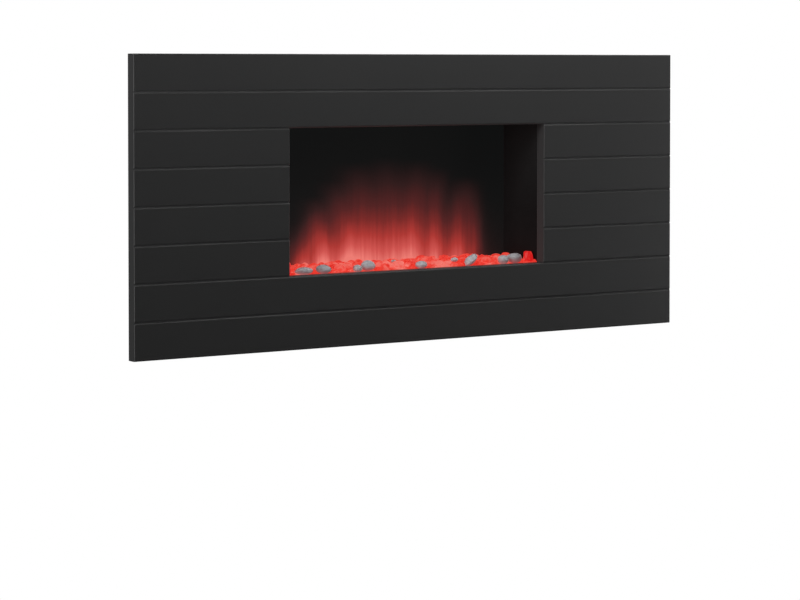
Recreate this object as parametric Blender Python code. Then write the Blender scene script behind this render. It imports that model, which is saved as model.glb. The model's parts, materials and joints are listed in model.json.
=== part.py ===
"""Wall-hung electric fireplace: a grooved board front over a shallow steel fire.

Metres, +Z up. The front faces -Y and the wall is the plane y = 0. The origin is the
middle of the wall rail's back face, which is what holds the fire up.

Every piece is its own object. The fire hangs on the wall rail by two hooks, and the
front board hangs on the fire by two more, so each lifts off upwards.
"""

import math
import random

import bmesh
import bpy
from mathutils import Matrix, Vector

# --- Driving dimensions -------------------------------------------------------------

GAP = 0.0003  # clearance left between pieces that touch

# Front board: eight equal planks, cut into one sheet by V-grooves
PLANK_COUNT = 8
PLANK_HEIGHT = 0.056
FRONT_HEIGHT = PLANK_COUNT * PLANK_HEIGHT
FRONT_WIDTH = 1.008
FRONT_THICKNESS = 0.018
FRONT_Y = -0.165
FRONT_BACK_Y = FRONT_Y + FRONT_THICKNESS
GROOVE_WIDTH = 0.0044
GROOVE_DEPTH = 0.0022
ARRIS = 0.0012

# The fire window is four planks high, in the middle of the board
WINDOW_WIDTH = 0.479
WINDOW_HEIGHT = 4 * PLANK_HEIGHT

# The board's mid-height, below the middle of the wall rail
MID_Z = -0.100

# Steel case behind the board
CASE_WIDTH = 0.800
CASE_HEIGHT = 0.400
SHEET = 0.0012
FRAME_Y = FRONT_BACK_Y + 0.0021
FRAME_THICKNESS = 0.0015
FRAME_BACK_Y = FRAME_Y + FRAME_THICKNESS
REAR_Y = -0.018
CASE_TOP_Z = MID_Z + CASE_HEIGHT / 2
CASE_BASE_Z = MID_Z - CASE_HEIGHT / 2
CASE_FRONT_Y = FRAME_BACK_Y + GAP
CASE_REAR_Y = REAR_Y - SHEET - GAP
FLOOR_Z = CASE_BASE_Z + SHEET

# Firebox lining and flame screen
LINER_MARGIN = 0.0025
LINER_X = WINDOW_WIDTH / 2 + LINER_MARGIN
LINER_TOP_Z = MID_Z + WINDOW_HEIGHT / 2 + LINER_MARGIN
TRAY_TOP_Z = MID_Z - WINDOW_HEIGHT / 2 - 0.0060
LINER_SHEET = 0.0008
SCREEN_Y = -0.051
SCREEN_THICKNESS = 0.003
SCREEN_BACK_Y = SCREEN_Y + SCREEN_THICKNESS
LINER_REAR_Y = SCREEN_Y - GAP
FOIL_THICKNESS = 0.0008
TRAY_WINDOWS = 5
TRAY_WINDOW_PITCH = 0.092
LAMP_LINE_Y = -0.098

# Fuel bed
BED_LEVEL = 0.0035
BED_LUMP = 0.0085
BED_COLUMNS = 56
BED_ROWS = 10

# Flame spindle
SPINDLE_Y = -0.0335
SPINDLE_Z = MID_Z - 0.130
SPINDLE_REACH = 0.0090
SPINDLE_SHAFT = 0.0020
SPINDLE_END = 0.232
SPINDLE_TABS = 15

# Cross-flow blower
BLOWER_Y = -0.092
BLOWER_Z = MID_Z - 0.150
IMPELLER_RADIUS = 0.018
IMPELLER_BLADES = 16
BLOWER_LEFT = -0.130
BLOWER_RIGHT = 0.120
BLOWER_SHAFT = 0.0025
MOTOR_LEFT = 0.150
MOTOR_DEPTH = 0.020
ROTOR_RADIUS = 0.0125

# Wall rail and hooks
RAIL_LENGTH = 0.460
RAIL_HEIGHT = 0.060
RAIL_SHEET = 0.002
RAIL_STAND_OFF = 0.012
LIP_TOP_Z = 0.042
HANGER_X = 0.170
HANGER_WIDTH = 0.040
RAIL_SLOT_XS = (-0.180, -0.080, 0.080, 0.180)
RAIL_SLOT = (0.006, 0.014)

# Hooks that carry the front board
BOARD_HOOK_X = 0.330
BOARD_HOOK_Z = MID_Z + 0.150
BOARD_HOOK_WIDTH = 0.030
BOARD_LIFT = 0.013

# Rocker switches on the case's right side
SWITCH_Y = -0.078
SWITCH_NAMES = ("power", "flame", "heat")
SWITCH_TOP_Z = MID_Z + 0.120
SWITCH_PITCH = 0.036
SWITCH_TILT = math.radians(7.0)
CASE_SIDE_X = CASE_WIDTH / 2
ROCKER_PIVOT_X = CASE_SIDE_X + 0.0012

# Cord inlet on the case's right side
GLAND_Y = -0.062
GLAND_Z = MID_Z - 0.166
GLAND_BORE = 0.0042

# Loose pebbles: x, y, half width, half depth, half height, turn in degrees
PEBBLES = (
    (-0.1950, -0.1315, 0.0162, 0.0102, 0.0060, 4),
    (-0.1587, -0.1305, 0.0128, 0.0105, 0.0075, -12),
    (-0.0978, -0.1330, 0.0088, 0.0085, 0.0056, 15),
    (-0.0740, -0.1255, 0.0135, 0.0108, 0.0084, -5),
    (0.0227, -0.1320, 0.0108, 0.0090, 0.0062, 8),
    (0.1200, -0.1290, 0.0118, 0.0104, 0.0095, -20),
    (0.1815, -0.1330, 0.0092, 0.0088, 0.0075, 10),
    (0.2075, -0.1265, 0.0150, 0.0105, 0.0084, -4),
)


# --- Materials ----------------------------------------------------------------------


def make_material(name, colour, roughness, metallic=0.0):
    """A Principled material with one colour."""
    material = bpy.data.materials.new(name)
    material.use_nodes = True
    material.diffuse_color = (*colour, 1.0)
    shader = material.node_tree.nodes["Principled BSDF"]
    shader.inputs["Base Color"].default_value = (*colour, 1.0)
    shader.inputs["Roughness"].default_value = roughness
    shader.inputs["Metallic"].default_value = metallic
    return material


def make_materials():
    """Every material of the fireplace, by a plain name."""
    return {
        "board": make_material("board_paint", (0.030, 0.031, 0.034), 0.42),
        "steel": make_material("black_steel", (0.022, 0.022, 0.024), 0.55, 0.2),
        "zinc": make_material("zinc_steel", (0.55, 0.56, 0.58), 0.38, 0.9),
        "liner": make_material("liner_paint", (0.008, 0.008, 0.009), 0.75),
        "screen": make_material("screen_acrylic", (0.030, 0.012, 0.012), 0.35),
        "foil": make_material("flame_foil", (0.75, 0.76, 0.78), 0.18, 0.95),
        "ember": make_material("ember_resin", (0.62, 0.06, 0.03), 0.32),
        "stone": make_material("pebble_stone", (0.33, 0.34, 0.36), 0.70),
        "plastic": make_material("black_plastic", (0.018, 0.018, 0.019), 0.45),
        "nylon": make_material("white_nylon", (0.72, 0.71, 0.68), 0.50),
        "rubber": make_material("black_rubber", (0.020, 0.020, 0.020), 0.85),
        "board_green": make_material("circuit_board", (0.020, 0.130, 0.050), 0.45),
        "aluminium": make_material("aluminium", (0.68, 0.69, 0.70), 0.35, 0.9),
        "ceramic": make_material("heater_ceramic", (0.50, 0.46, 0.40), 0.60),
        "copper": make_material("motor_winding", (0.55, 0.22, 0.08), 0.40, 0.7),
    }


# --- Helpers ------------------------------------------------------------------------


def remove_everything():
    """Empties the scene."""
    for thing in list(bpy.data.objects):
        bpy.data.objects.remove(thing, do_unlink=True)


def make_empty(name, location, parent=None):
    """An empty at a world location, to hang a group of pieces on."""
    empty = bpy.data.objects.new(name, None)
    bpy.context.collection.objects.link(empty)
    empty.empty_display_size = 0.02
    place(empty, location, parent)
    return empty


def world_place(thing):
    """World location of an unrotated chain of parents."""
    total = Vector((0.0, 0.0, 0.0))
    while thing is not None:
        total += thing.location
        thing = thing.parent
    return total


def place(thing, location, parent):
    """Puts a thing at a world location, under its parent."""
    thing.parent = parent
    offset = world_place(parent) if parent else Vector((0.0, 0.0, 0.0))
    thing.location = Vector(location) - offset


def finish_mesh(bm, name):
    """Turns a bmesh in local metres into a mesh with its faces pointing out."""
    bmesh.ops.recalc_face_normals(bm, faces=bm.faces)
    mesh = bpy.data.meshes.new(name)
    bm.to_mesh(mesh)
    bm.free()
    return mesh


def add_piece(name, bm, material, origin=(0, 0, 0), parent=None, smooth=False):
    """Adds a named piece whose bmesh is in world metres; its origin goes to `origin`."""
    bmesh.ops.translate(bm, vec=-Vector(origin), verts=bm.verts)
    piece = bpy.data.objects.new(name, finish_mesh(bm, name))
    bpy.context.collection.objects.link(piece)
    place(piece, origin, parent)
    if material is not None:
        piece.data.materials.append(material)
    if smooth:
        piece.data.shade_smooth()
        piece.data.set_sharp_from_angle(angle=math.radians(35))
    return piece


def add_box(bm, low, high):
    """Adds a box between two corners."""
    low = Vector(low)
    high = Vector(high)
    size = high - low
    matrix = Matrix.Translation((low + high) / 2) @ Matrix.Diagonal((*size, 1.0))
    bmesh.ops.create_cube(bm, size=1.0, matrix=matrix)


def box_mesh(low, high):
    """A bmesh holding one box."""
    bm = bmesh.new()
    add_box(bm, low, high)
    return bm


def middle(low, high):
    """The point halfway between two corners."""
    return (Vector(low) + Vector(high)) / 2


def box_piece(name, low, high, material, parent):
    """A piece that is one box, with its origin at its middle."""
    return add_piece(name, box_mesh(low, high), material, middle(low, high), parent)


AXIS_TURN = {
    "X": Matrix.Rotation(math.radians(90), 4, "Y"),
    "Y": Matrix.Rotation(math.radians(-90), 4, "X"),
    "Z": Matrix.Identity(4),
}


def add_rod(bm, centre, radius, length, axis, sides=20):
    """Adds a solid cylinder centred on a point, along X, Y or Z."""
    matrix = Matrix.Translation(Vector(centre)) @ AXIS_TURN[axis]
    bmesh.ops.create_cone(
        bm, cap_ends=True, segments=sides, radius1=radius, radius2=radius, depth=length, matrix=matrix
    )


def rod_mesh(centre, radius, length, axis, sides=20):
    """A bmesh holding one cylinder."""
    bm = bmesh.new()
    add_rod(bm, centre, radius, length, axis, sides)
    return bm


def add_prism(bm, outline, axis, low, high):
    """Extrudes an outline between two positions along X, Y or Z.

    The outline's two numbers are the other two axes, in X, Y, Z order.
    """
    slot = "XYZ".index(axis)

    def corner(point, position):
        values = list(point)
        values.insert(slot, position)
        return bm.verts.new(values)

    first = [corner(point, low) for point in outline]
    last = [corner(point, high) for point in outline]
    bm.faces.new(first)
    bm.faces.new(reversed(last))
    count = len(outline)
    for index in range(count):
        after = (index + 1) % count
        bm.faces.new((first[index], last[index], last[after], first[after]))


def prism_mesh(outline, axis, low, high):
    """A bmesh holding one extruded outline."""
    bm = bmesh.new()
    add_prism(bm, outline, axis, low, high)
    return bm


def slot_outline(centre, width, height, steps=6):
    """A slot with round ends, tall in its second direction."""
    radius = width / 2
    reach = height / 2 - radius
    points = []
    for end, start in ((1, 0.0), (-1, math.pi)):
        for step in range(steps + 1):
            angle = start + math.pi * step / steps
            across = radius * math.cos(angle)
            along = end * reach + radius * math.sin(angle)
            points.append((centre[0] + across, centre[1] + along))
    return points


def strip_outline(path, thickness):
    """The outline of a bent strip: a path, and the same path moved by its thickness."""
    far_side = []
    for index, point in enumerate(path):
        before = Vector(path[max(index - 1, 0)])
        after = Vector(path[min(index + 1, len(path) - 1)])
        here = Vector(point)
        into = (here - before).normalized() if index else (after - here).normalized()
        out_of = (after - here).normalized() if index < len(path) - 1 else into
        normal_in = Vector((-into.y, into.x))
        normal_out = Vector((-out_of.y, out_of.x))
        mitre = (normal_in + normal_out).normalized()
        far_side.append(here + mitre * thickness / max(mitre.dot(normal_in), 0.3))
    return [tuple(point) for point in path] + [tuple(point) for point in reversed(far_side)]


def hide_cutter(cutter):
    """Marks a guide shape that is not a piece of the fireplace."""
    cutter.hide_render = True
    cutter.display_type = "WIRE"


def combine(piece, operation, shapes):
    """Cuts shapes from a piece, or joins them to it, with one Boolean modifier."""
    tools = bpy.data.collections.new(f"{piece.name}_{operation.lower()}")
    bpy.context.scene.collection.children.link(tools)
    for index, bm in enumerate(shapes):
        tool_name = f"{piece.name}_{operation.lower()}_{index}"
        tool = bpy.data.objects.new(tool_name, finish_mesh(bm, tool_name))
        tools.objects.link(tool)
        hide_cutter(tool)
    boolean = piece.modifiers.new(operation.lower(), "BOOLEAN")
    boolean.operation = operation
    boolean.solver = "EXACT"
    boolean.operand_type = "COLLECTION"
    boolean.collection = tools
    return piece


def cut(piece, shapes):
    """Cuts world-space shapes out of a piece."""
    return combine(piece, "DIFFERENCE", shapes)


def fuse(piece, shapes):
    """Joins world-space shapes to a piece."""
    return combine(piece, "UNION", shapes)


# --- Wall rail ----------------------------------------------------------------------


def build_wall_rail(materials, parent):
    """Folded steel rail that is screwed to the wall; its lip carries the fire."""
    half = RAIL_HEIGHT / 2
    path = [
        (0.0, -half),
        (0.0, half),
        (-RAIL_STAND_OFF + RAIL_SHEET, half),
        (-RAIL_STAND_OFF + RAIL_SHEET, LIP_TOP_Z),
    ]
    near = [
        (-RAIL_STAND_OFF, LIP_TOP_Z),
        (-RAIL_STAND_OFF, half - RAIL_SHEET),
        (-RAIL_SHEET, half - RAIL_SHEET),
        (-RAIL_SHEET, -half),
    ]
    rail_mesh = prism_mesh(path + near, "X", -RAIL_LENGTH / 2, RAIL_LENGTH / 2)
    rail = add_piece("wall_rail", rail_mesh, materials["zinc"], (0, 0, 0), parent)
    slots = []
    for x in RAIL_SLOT_XS:
        outline = slot_outline((x, -0.006), *RAIL_SLOT)
        slots.append(prism_mesh(outline, "Y", -0.010, 0.010))
    return cut(rail, slots)


# --- Front board --------------------------------------------------------------------


def board_profile():
    """Side outline of the board: flat back, and a front with a groove at each joint."""
    low = MID_Z - FRONT_HEIGHT / 2
    high = MID_Z + FRONT_HEIGHT / 2
    points = [(FRONT_BACK_Y, high), (FRONT_BACK_Y, low), (FRONT_Y + ARRIS, low), (FRONT_Y, low + ARRIS)]
    for joint in range(1, PLANK_COUNT):
        z = low + joint * PLANK_HEIGHT
        points.append((FRONT_Y, z - GROOVE_WIDTH / 2))
        points.append((FRONT_Y + GROOVE_DEPTH, z))
        points.append((FRONT_Y, z + GROOVE_WIDTH / 2))
    points.append((FRONT_Y, high - ARRIS))
    points.append((FRONT_Y + ARRIS, high))
    return points


def window_cutter():
    """The window's plan, flared at the front to leave an eased edge on both sides."""
    half = WINDOW_WIDTH / 2
    flare = half + ARRIS + 0.004
    plan = [
        (-half, FRONT_BACK_Y + 0.004),
        (-half, FRONT_Y + ARRIS),
        (-flare, FRONT_Y - 0.004),
        (flare, FRONT_Y - 0.004),
        (half, FRONT_Y + ARRIS),
        (half, FRONT_BACK_Y + 0.004),
    ]
    return prism_mesh(plan, "Z", MID_Z - WINDOW_HEIGHT / 2, MID_Z + WINDOW_HEIGHT / 2)


def end_cutter(side):
    """A wedge that eases the front corner at one end of the board."""
    edge = side * FRONT_WIDTH / 2
    over = 0.004
    plan = [
        (edge - side * (ARRIS + over), FRONT_Y - over),
        (edge + side * over, FRONT_Y + ARRIS + over),
        (edge + side * over, FRONT_Y - over),
    ]
    reach = FRONT_HEIGHT / 2 + 0.01
    return prism_mesh(plan, "Z", MID_Z - reach, MID_Z + reach)


def build_front_board(materials, parent):
    """Grooved board with the fire window through it."""
    board_mesh = prism_mesh(board_profile(), "X", -FRONT_WIDTH / 2, FRONT_WIDTH / 2)
    origin = (0, FRONT_BACK_Y, MID_Z)
    board = add_piece("front_board", board_mesh, materials["board"], origin, parent)
    return cut(board, [window_cutter(), end_cutter(-1), end_cutter(1)])


def build_board_hooks(materials, parent):
    """Two inverted-U hooks on the board's back; each drops over a slot's lower edge."""
    top = BOARD_HOOK_Z
    plate_y = FRONT_BACK_Y + GAP
    plate_back = FRAME_Y - GAP
    tongue_y = FRAME_BACK_Y + GAP
    tongue_back = tongue_y + 0.0015
    outline = [
        (plate_y, top - 0.034),
        (plate_back, top - 0.034),
        (plate_back, top - 0.002),
        (tongue_y, top - 0.002),
        (tongue_y, top - 0.012),
        (tongue_back, top - 0.012),
        (tongue_back, top),
        (plate_y, top),
    ]
    for label, side in (("left", -1), ("right", 1)):
        x = side * BOARD_HOOK_X
        hook_mesh = prism_mesh(outline, "X", x - BOARD_HOOK_WIDTH / 2, x + BOARD_HOOK_WIDTH / 2)
        add_piece(f"board_hook_{label}", hook_mesh, materials["zinc"], (x, plate_y, top), parent)


# --- Case ---------------------------------------------------------------------------


def build_front_frame(materials, parent):
    """Steel front of the case, with the window and the two hook slots."""
    half = CASE_WIDTH / 2
    low = (-half, FRAME_Y, CASE_BASE_Z)
    high = (half, FRAME_BACK_Y, CASE_TOP_Z)
    frame = box_piece("front_frame", low, high, materials["steel"], parent)
    through = 0.004
    reach_x = WINDOW_WIDTH / 2 + 0.002
    reach_z = WINDOW_HEIGHT / 2 + 0.002
    holes = [
        box_mesh(
            (-reach_x, FRAME_Y - through, MID_Z - reach_z),
            (reach_x, FRAME_BACK_Y + through, MID_Z + reach_z),
        )
    ]
    slot_low = BOARD_HOOK_Z - 0.002 - GAP
    slot_high = BOARD_HOOK_Z + BOARD_LIFT + 0.0015
    slot_half = BOARD_HOOK_WIDTH / 2 + 0.001
    for side in (-1, 1):
        x = side * BOARD_HOOK_X
        holes.append(
            box_mesh(
                (x - slot_half, FRAME_Y - through, slot_low),
                (x + slot_half, FRAME_BACK_Y + through, slot_high),
            )
        )
    return cut(frame, holes)


def build_case_base(materials, parent):
    """Floor of the case, with the punched slots that the warm air leaves by."""
    half = CASE_WIDTH / 2
    low = (-half, CASE_FRONT_Y, CASE_BASE_Z)
    high = (half, CASE_REAR_Y, FLOOR_Z)
    base = box_piece("case_base", low, high, materials["steel"], parent)
    slots = []
    slot_width = 0.0035
    pitch = 0.0080
    count = int((BLOWER_RIGHT - BLOWER_LEFT - 0.010) / pitch)
    start = (BLOWER_LEFT + BLOWER_RIGHT - (count - 1) * pitch) / 2
    for index in range(count):
        x = start + index * pitch
        slots.append(
            box_mesh(
                (x - slot_width / 2, BLOWER_Y - 0.019, CASE_BASE_Z - 0.004),
                (x + slot_width / 2, BLOWER_Y + 0.013, FLOOR_Z + 0.004),
            )
        )
    return cut(base, slots)


def build_case_top(materials, parent):
    """Roof of the case."""
    half = CASE_WIDTH / 2
    low = (-half, CASE_FRONT_Y, CASE_TOP_Z - SHEET)
    high = (half, CASE_REAR_Y, CASE_TOP_Z)
    return box_piece("case_top", low, high, materials["steel"], parent)


def side_corners(side):
    """Lowest and highest corners of a side sheet."""
    outer = side * CASE_SIDE_X
    inner = side * (CASE_SIDE_X - SHEET)
    low = (min(outer, inner), CASE_FRONT_Y, FLOOR_Z + GAP)
    high = (max(outer, inner), CASE_REAR_Y, CASE_TOP_Z - SHEET - GAP)
    return low, high


def switch_height(index):
    """Height of a rocker switch's middle."""
    return SWITCH_TOP_Z - index * SWITCH_PITCH


def build_case_sides(materials, parent):
    """Side sheets; the right one has the switch openings and the cord inlet's hole."""
    box_piece("case_left", *side_corners(-1), materials["steel"], parent)
    right = box_piece("case_right", *side_corners(1), materials["steel"], parent)
    holes = []
    for index in range(len(SWITCH_NAMES)):
        z = switch_height(index)
        holes.append(
            box_mesh(
                (CASE_SIDE_X - 0.006, SWITCH_Y - 0.0067, z - 0.0098),
                (CASE_SIDE_X + 0.006, SWITCH_Y + 0.0067, z + 0.0098),
            )
        )
    holes.append(rod_mesh((CASE_SIDE_X, GLAND_Y, GLAND_Z), 0.0074, 0.012, "X", 24))
    return cut(right, holes)


def build_rear_cover(materials, parent):
    """Back sheet with two fields of air-intake slots and rounded corners."""
    half = CASE_WIDTH / 2
    low = (-half, REAR_Y - SHEET, CASE_BASE_Z)
    high = (half, REAR_Y, CASE_TOP_Z)
    cover = box_piece("rear_cover", low, high, materials["zinc"], parent)
    slots = []
    slot_width = 0.0036
    slot_height = 0.046
    pitch = 0.0090
    count = 13
    for field_x in (-0.150, 0.150):
        for index in range(count):
            x = field_x + (index - (count - 1) / 2) * pitch
            outline = slot_outline((x, MID_Z - 0.150), slot_width, slot_height, 3)
            slots.append(prism_mesh(outline, "Y", REAR_Y - 0.006, REAR_Y + 0.004))
    return cut(cover, slots)


def build_wall_hangers(materials, parent):
    """Two folded hooks on the rear cover; each hangs over the wall rail's lip."""
    plate_y = REAR_Y + GAP
    sheet = 0.0015
    arm_z = LIP_TOP_Z + GAP
    tongue_y = -0.0080
    outline = [
        (plate_y, 0.006),
        (plate_y + sheet, 0.006),
        (plate_y + sheet, arm_z),
        (tongue_y, arm_z),
        (tongue_y, 0.034),
        (tongue_y + sheet, 0.034),
        (tongue_y + sheet, arm_z + sheet),
        (plate_y, arm_z + sheet),
    ]
    for label, side in (("left", -1), ("right", 1)):
        x = side * HANGER_X
        hanger_mesh = prism_mesh(outline, "X", x - HANGER_WIDTH / 2, x + HANGER_WIDTH / 2)
        add_piece(f"wall_hanger_{label}", hanger_mesh, materials["zinc"], (x, plate_y, arm_z), parent)


def build_rubber_feet(materials, parent):
    """Two rubber buffers that keep the case's lower edge off the wall."""
    for label, side in (("left", -1), ("right", 1)):
        front = REAR_Y + GAP
        centre = (side * 0.300, front / 2, MID_Z - 0.165)
        foot_mesh = rod_mesh(centre, 0.009, -front, "Y", 24)
        add_piece(f"wall_buffer_{label}", foot_mesh, materials["rubber"], centre, parent, smooth=True)


# --- Firebox ------------------------------------------------------------------------


def build_liners(materials, parent):
    """Matt black cheeks and roof between the window and the flame screen."""
    for label, side in (("left", -1), ("right", 1)):
        inner = side * LINER_X
        outer = side * (LINER_X + LINER_SHEET)
        low = (min(inner, outer), CASE_FRONT_Y, TRAY_TOP_Z + GAP)
        high = (max(inner, outer), LINER_REAR_Y, LINER_TOP_Z - GAP)
        box_piece(f"liner_{label}", low, high, materials["liner"], parent)
    reach = LINER_X + LINER_SHEET
    low = (-reach, CASE_FRONT_Y, LINER_TOP_Z)
    high = (reach, LINER_REAR_Y, LINER_TOP_Z + LINER_SHEET)
    box_piece("liner_top", low, high, materials["liner"], parent)


def build_ember_tray(materials, parent):
    """Tray under the fuel bed, with windows that let the light up into it."""
    reach = LINER_X + LINER_SHEET
    low = (-reach, CASE_FRONT_Y, TRAY_TOP_Z - SHEET)
    high = (reach, LINER_REAR_Y, TRAY_TOP_Z)
    tray = box_piece("ember_tray", low, high, materials["liner"], parent)
    windows = []
    for index in range(TRAY_WINDOWS):
        x = (index - (TRAY_WINDOWS - 1) / 2) * TRAY_WINDOW_PITCH
        windows.append(
            box_mesh(
                (x - 0.040, LAMP_LINE_Y - 0.031, TRAY_TOP_Z - 0.006),
                (x + 0.040, LAMP_LINE_Y + 0.031, TRAY_TOP_Z + 0.006),
            )
        )
    return cut(tray, windows)


def pebble_seat(x, y):
    """How far inside a pebble's seat a point is: 1 at the middle, 0 outside."""
    deepest = 0.0
    for px, py, half_x, half_y, _, _ in PEBBLES:
        away = math.hypot((x - px) / (half_x + 0.004), (y - py) / (half_y + 0.004))
        deepest = max(deepest, 1.0 - away ** 4)
    return max(deepest, 0.0)


def bed_height(x, y):
    """Height of the fuel bed above its underside: low lumps, with a flat seat per pebble."""
    waves = math.sin(x * 210.0 + 1.3) * math.sin(y * 190.0 + x * 60.0)
    ripples = 0.5 * math.sin(x * 430.0 + y * 310.0)
    lumps = BED_LUMP * (0.5 + (waves + ripples) / 3.0)
    return BED_LEVEL + lumps * (1.0 - min(1.0, 2.5 * pebble_seat(x, y)))


def build_ember_bed(materials, parent):
    """One translucent moulding of low lumps, lit from below."""
    left = -LINER_X + GAP
    right = LINER_X - GAP
    front = CASE_FRONT_Y + GAP
    rear = LINER_REAR_Y - GAP
    bottom = TRAY_TOP_Z + GAP
    bm = bmesh.new()
    top_rows = []
    for row in range(BED_ROWS + 1):
        y = front + (rear - front) * row / BED_ROWS
        line = []
        for column in range(BED_COLUMNS + 1):
            x = left + (right - left) * column / BED_COLUMNS
            line.append(bm.verts.new((x, y, bottom + bed_height(x, y))))
        top_rows.append(line)
    for row in range(BED_ROWS):
        for column in range(BED_COLUMNS):
            near = top_rows[row]
            far = top_rows[row + 1]
            bm.faces.new((near[column], near[column + 1], far[column + 1], far[column]))
    rim = top_rows[0][:]
    rim += [line[-1] for line in top_rows[1:]]
    rim += list(reversed(top_rows[-1]))[1:]
    rim += [line[0] for line in reversed(top_rows[1:-1])]
    foot = [bm.verts.new((vertex.co.x, vertex.co.y, bottom)) for vertex in rim]
    for index in range(len(rim)):
        after = (index + 1) % len(rim)
        bm.faces.new((rim[after], rim[index], foot[index], foot[after]))
    bm.faces.new(foot)
    origin = (0, (front + rear) / 2, bottom)
    return add_piece("ember_bed", bm, materials["ember"], origin, parent)


def build_pebbles(materials, parent):
    """Loose stone pebbles, each in its own flat seat on the fuel bed."""
    chance = random.Random(8)
    seat_z = TRAY_TOP_Z + GAP + BED_LEVEL
    for number, (x, y, half_x, half_y, half_z, turn) in enumerate(PEBBLES, start=1):
        bm = bmesh.new()
        bmesh.ops.create_icosphere(bm, subdivisions=2, radius=1.0)
        phase = chance.uniform(0.0, 6.0)
        for vertex in bm.verts:
            lump = 1.0 + 0.06 * math.sin(3.0 * vertex.co.x + phase) * math.cos(2.0 * vertex.co.y + phase)
            vertex.co *= lump
        lowest = min(vertex.co.z for vertex in bm.verts)
        bmesh.ops.scale(bm, vec=(half_x, half_y, half_z), verts=bm.verts)
        turn_matrix = Matrix.Rotation(math.radians(turn), 3, "Z")
        bmesh.ops.rotate(bm, matrix=turn_matrix, verts=bm.verts)
        centre = Vector((x, y, seat_z + GAP - lowest * half_z))
        bmesh.ops.translate(bm, vec=centre, verts=bm.verts)
        add_piece(f"pebble_{number}", bm, materials["stone"], centre, parent, smooth=True)


def build_flame_screen(materials, parent):
    """Diffusing acrylic sheet that the flames appear on."""
    low = (-LINER_X - 0.006, SCREEN_Y, TRAY_TOP_Z - 0.004)
    high = (LINER_X + 0.006, SCREEN_BACK_Y, LINER_TOP_Z + 0.008)
    return box_piece("flame_screen", low, high, materials["screen"], parent)


def build_screen_clips(materials, parent):
    """Two channels that hold the ends of the flame screen."""
    depth = 0.0012
    for label, side in (("left", -1), ("right", 1)):
        inner = LINER_X + LINER_SHEET + GAP
        end = LINER_X + 0.006 + GAP
        plan = [
            (side * inner, SCREEN_BACK_Y + GAP),
            (side * end, SCREEN_BACK_Y + GAP),
            (side * end, SCREEN_Y - GAP),
            (side * (inner + 0.0020), SCREEN_Y - GAP),
            (side * (inner + 0.0020), SCREEN_Y - GAP - depth),
            (side * (end + depth), SCREEN_Y - GAP - depth),
            (side * (end + depth), SCREEN_BACK_Y + GAP + depth),
            (side * inner, SCREEN_BACK_Y + GAP + depth),
        ]
        clip_mesh = prism_mesh(plan, "Z", MID_Z - 0.105, MID_Z + 0.110)
        origin = (side * end, SCREEN_BACK_Y, MID_Z)
        add_piece(f"screen_clip_{label}", clip_mesh, materials["zinc"], origin, parent)


def flame_outline(x, foot_z, width, height, lean):
    """A leaf that is broad low down and runs to a leaning tip."""
    steps = 6
    right_side = []
    left_side = []
    for step in range(steps):
        rise = step / steps
        half = width / 2 * math.sin(math.pi * (0.25 + 0.75 * rise)) * (1.0 - 0.25 * rise)
        drift = lean * rise * rise
        right_side.append((x + half + drift, foot_z + height * rise))
        left_side.append((x - half + drift, foot_z + height * rise))
    return right_side + [(x + lean, foot_z + height)] + list(reversed(left_side))


def build_flame_template(materials, parent):
    """Foil sheet whose leaf-shaped windows give the flames their outline."""
    low = (-LINER_X, SCREEN_BACK_Y + GAP, TRAY_TOP_Z)
    high = (LINER_X, SCREEN_BACK_Y + GAP + FOIL_THICKNESS, MID_Z + 0.100)
    template = box_piece("flame_template", low, high, materials["foil"], parent)
    leaves = []
    count = 11
    pitch = 0.038
    for index in range(count):
        offset = index - (count - 1) / 2
        x = offset * pitch
        height = 0.094 - 0.0025 * offset * offset + 0.008 * math.cos(index * 2.4)
        width = 0.018 + 0.004 * math.sin(index * 1.7)
        lean = 0.008 * math.sin(index * 2.1)
        outline = flame_outline(x, TRAY_TOP_Z + 0.012, width, min(height, 0.095), lean)
        leaves.append(prism_mesh(outline, "Y", SCREEN_BACK_Y - 0.002, SCREEN_BACK_Y + 0.008))
    return cut(template, leaves)


# --- Flame drive --------------------------------------------------------------------


def build_flame_spindle(materials, parent):
    """Shaft with bright tabs in a slow twist; it turns and throws the flicker."""
    origin = (0, SPINDLE_Y, SPINDLE_Z)
    shaft = rod_mesh(origin, SPINDLE_SHAFT, 2 * SPINDLE_END + 0.008, "X", 16)
    spindle = add_piece("flame_spindle", shaft, materials["foil"], origin, parent)
    tabs = []
    pitch = 0.029
    turn_step = math.radians(67)
    for index in range(SPINDLE_TABS):
        x = (index - (SPINDLE_TABS - 1) / 2) * pitch
        tab = box_mesh(
            (x - 0.011, SPINDLE_Y - SPINDLE_REACH, SPINDLE_Z - 0.0004),
            (x + 0.011, SPINDLE_Y + SPINDLE_REACH, SPINDLE_Z + 0.0004),
        )
        turn = Matrix.Rotation(index * turn_step, 3, "X")
        bmesh.ops.rotate(tab, cent=(x, SPINDLE_Y, SPINDLE_Z), matrix=turn, verts=tab.verts)
        tabs.append(tab)
    return fuse(spindle, tabs)


def build_spindle_coupling(materials, parent):
    """Rubber sleeve on the shaft's end, with the motor's drive pin in it."""
    start = SPINDLE_END - 0.003
    stop = start + 0.018
    centre = ((start + stop) / 2, SPINDLE_Y, SPINDLE_Z)
    sleeve = rod_mesh(centre, 0.0050, stop - start, "X", 20)
    coupling = add_piece("spindle_coupling", sleeve, materials["rubber"], centre, parent, smooth=True)
    pin_centre = (stop + 0.004, SPINDLE_Y, SPINDLE_Z)
    fuse(coupling, [rod_mesh(pin_centre, 0.0015, 0.012, "X", 16)])
    bore_end = SPINDLE_END + 0.004 + GAP
    bore_centre = ((start - 0.004 + bore_end) / 2, SPINDLE_Y, SPINDLE_Z)
    bore_length = bore_end - start + 0.004
    return cut(coupling, [rod_mesh(bore_centre, SPINDLE_SHAFT + GAP, bore_length, "X", 16)])


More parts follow.
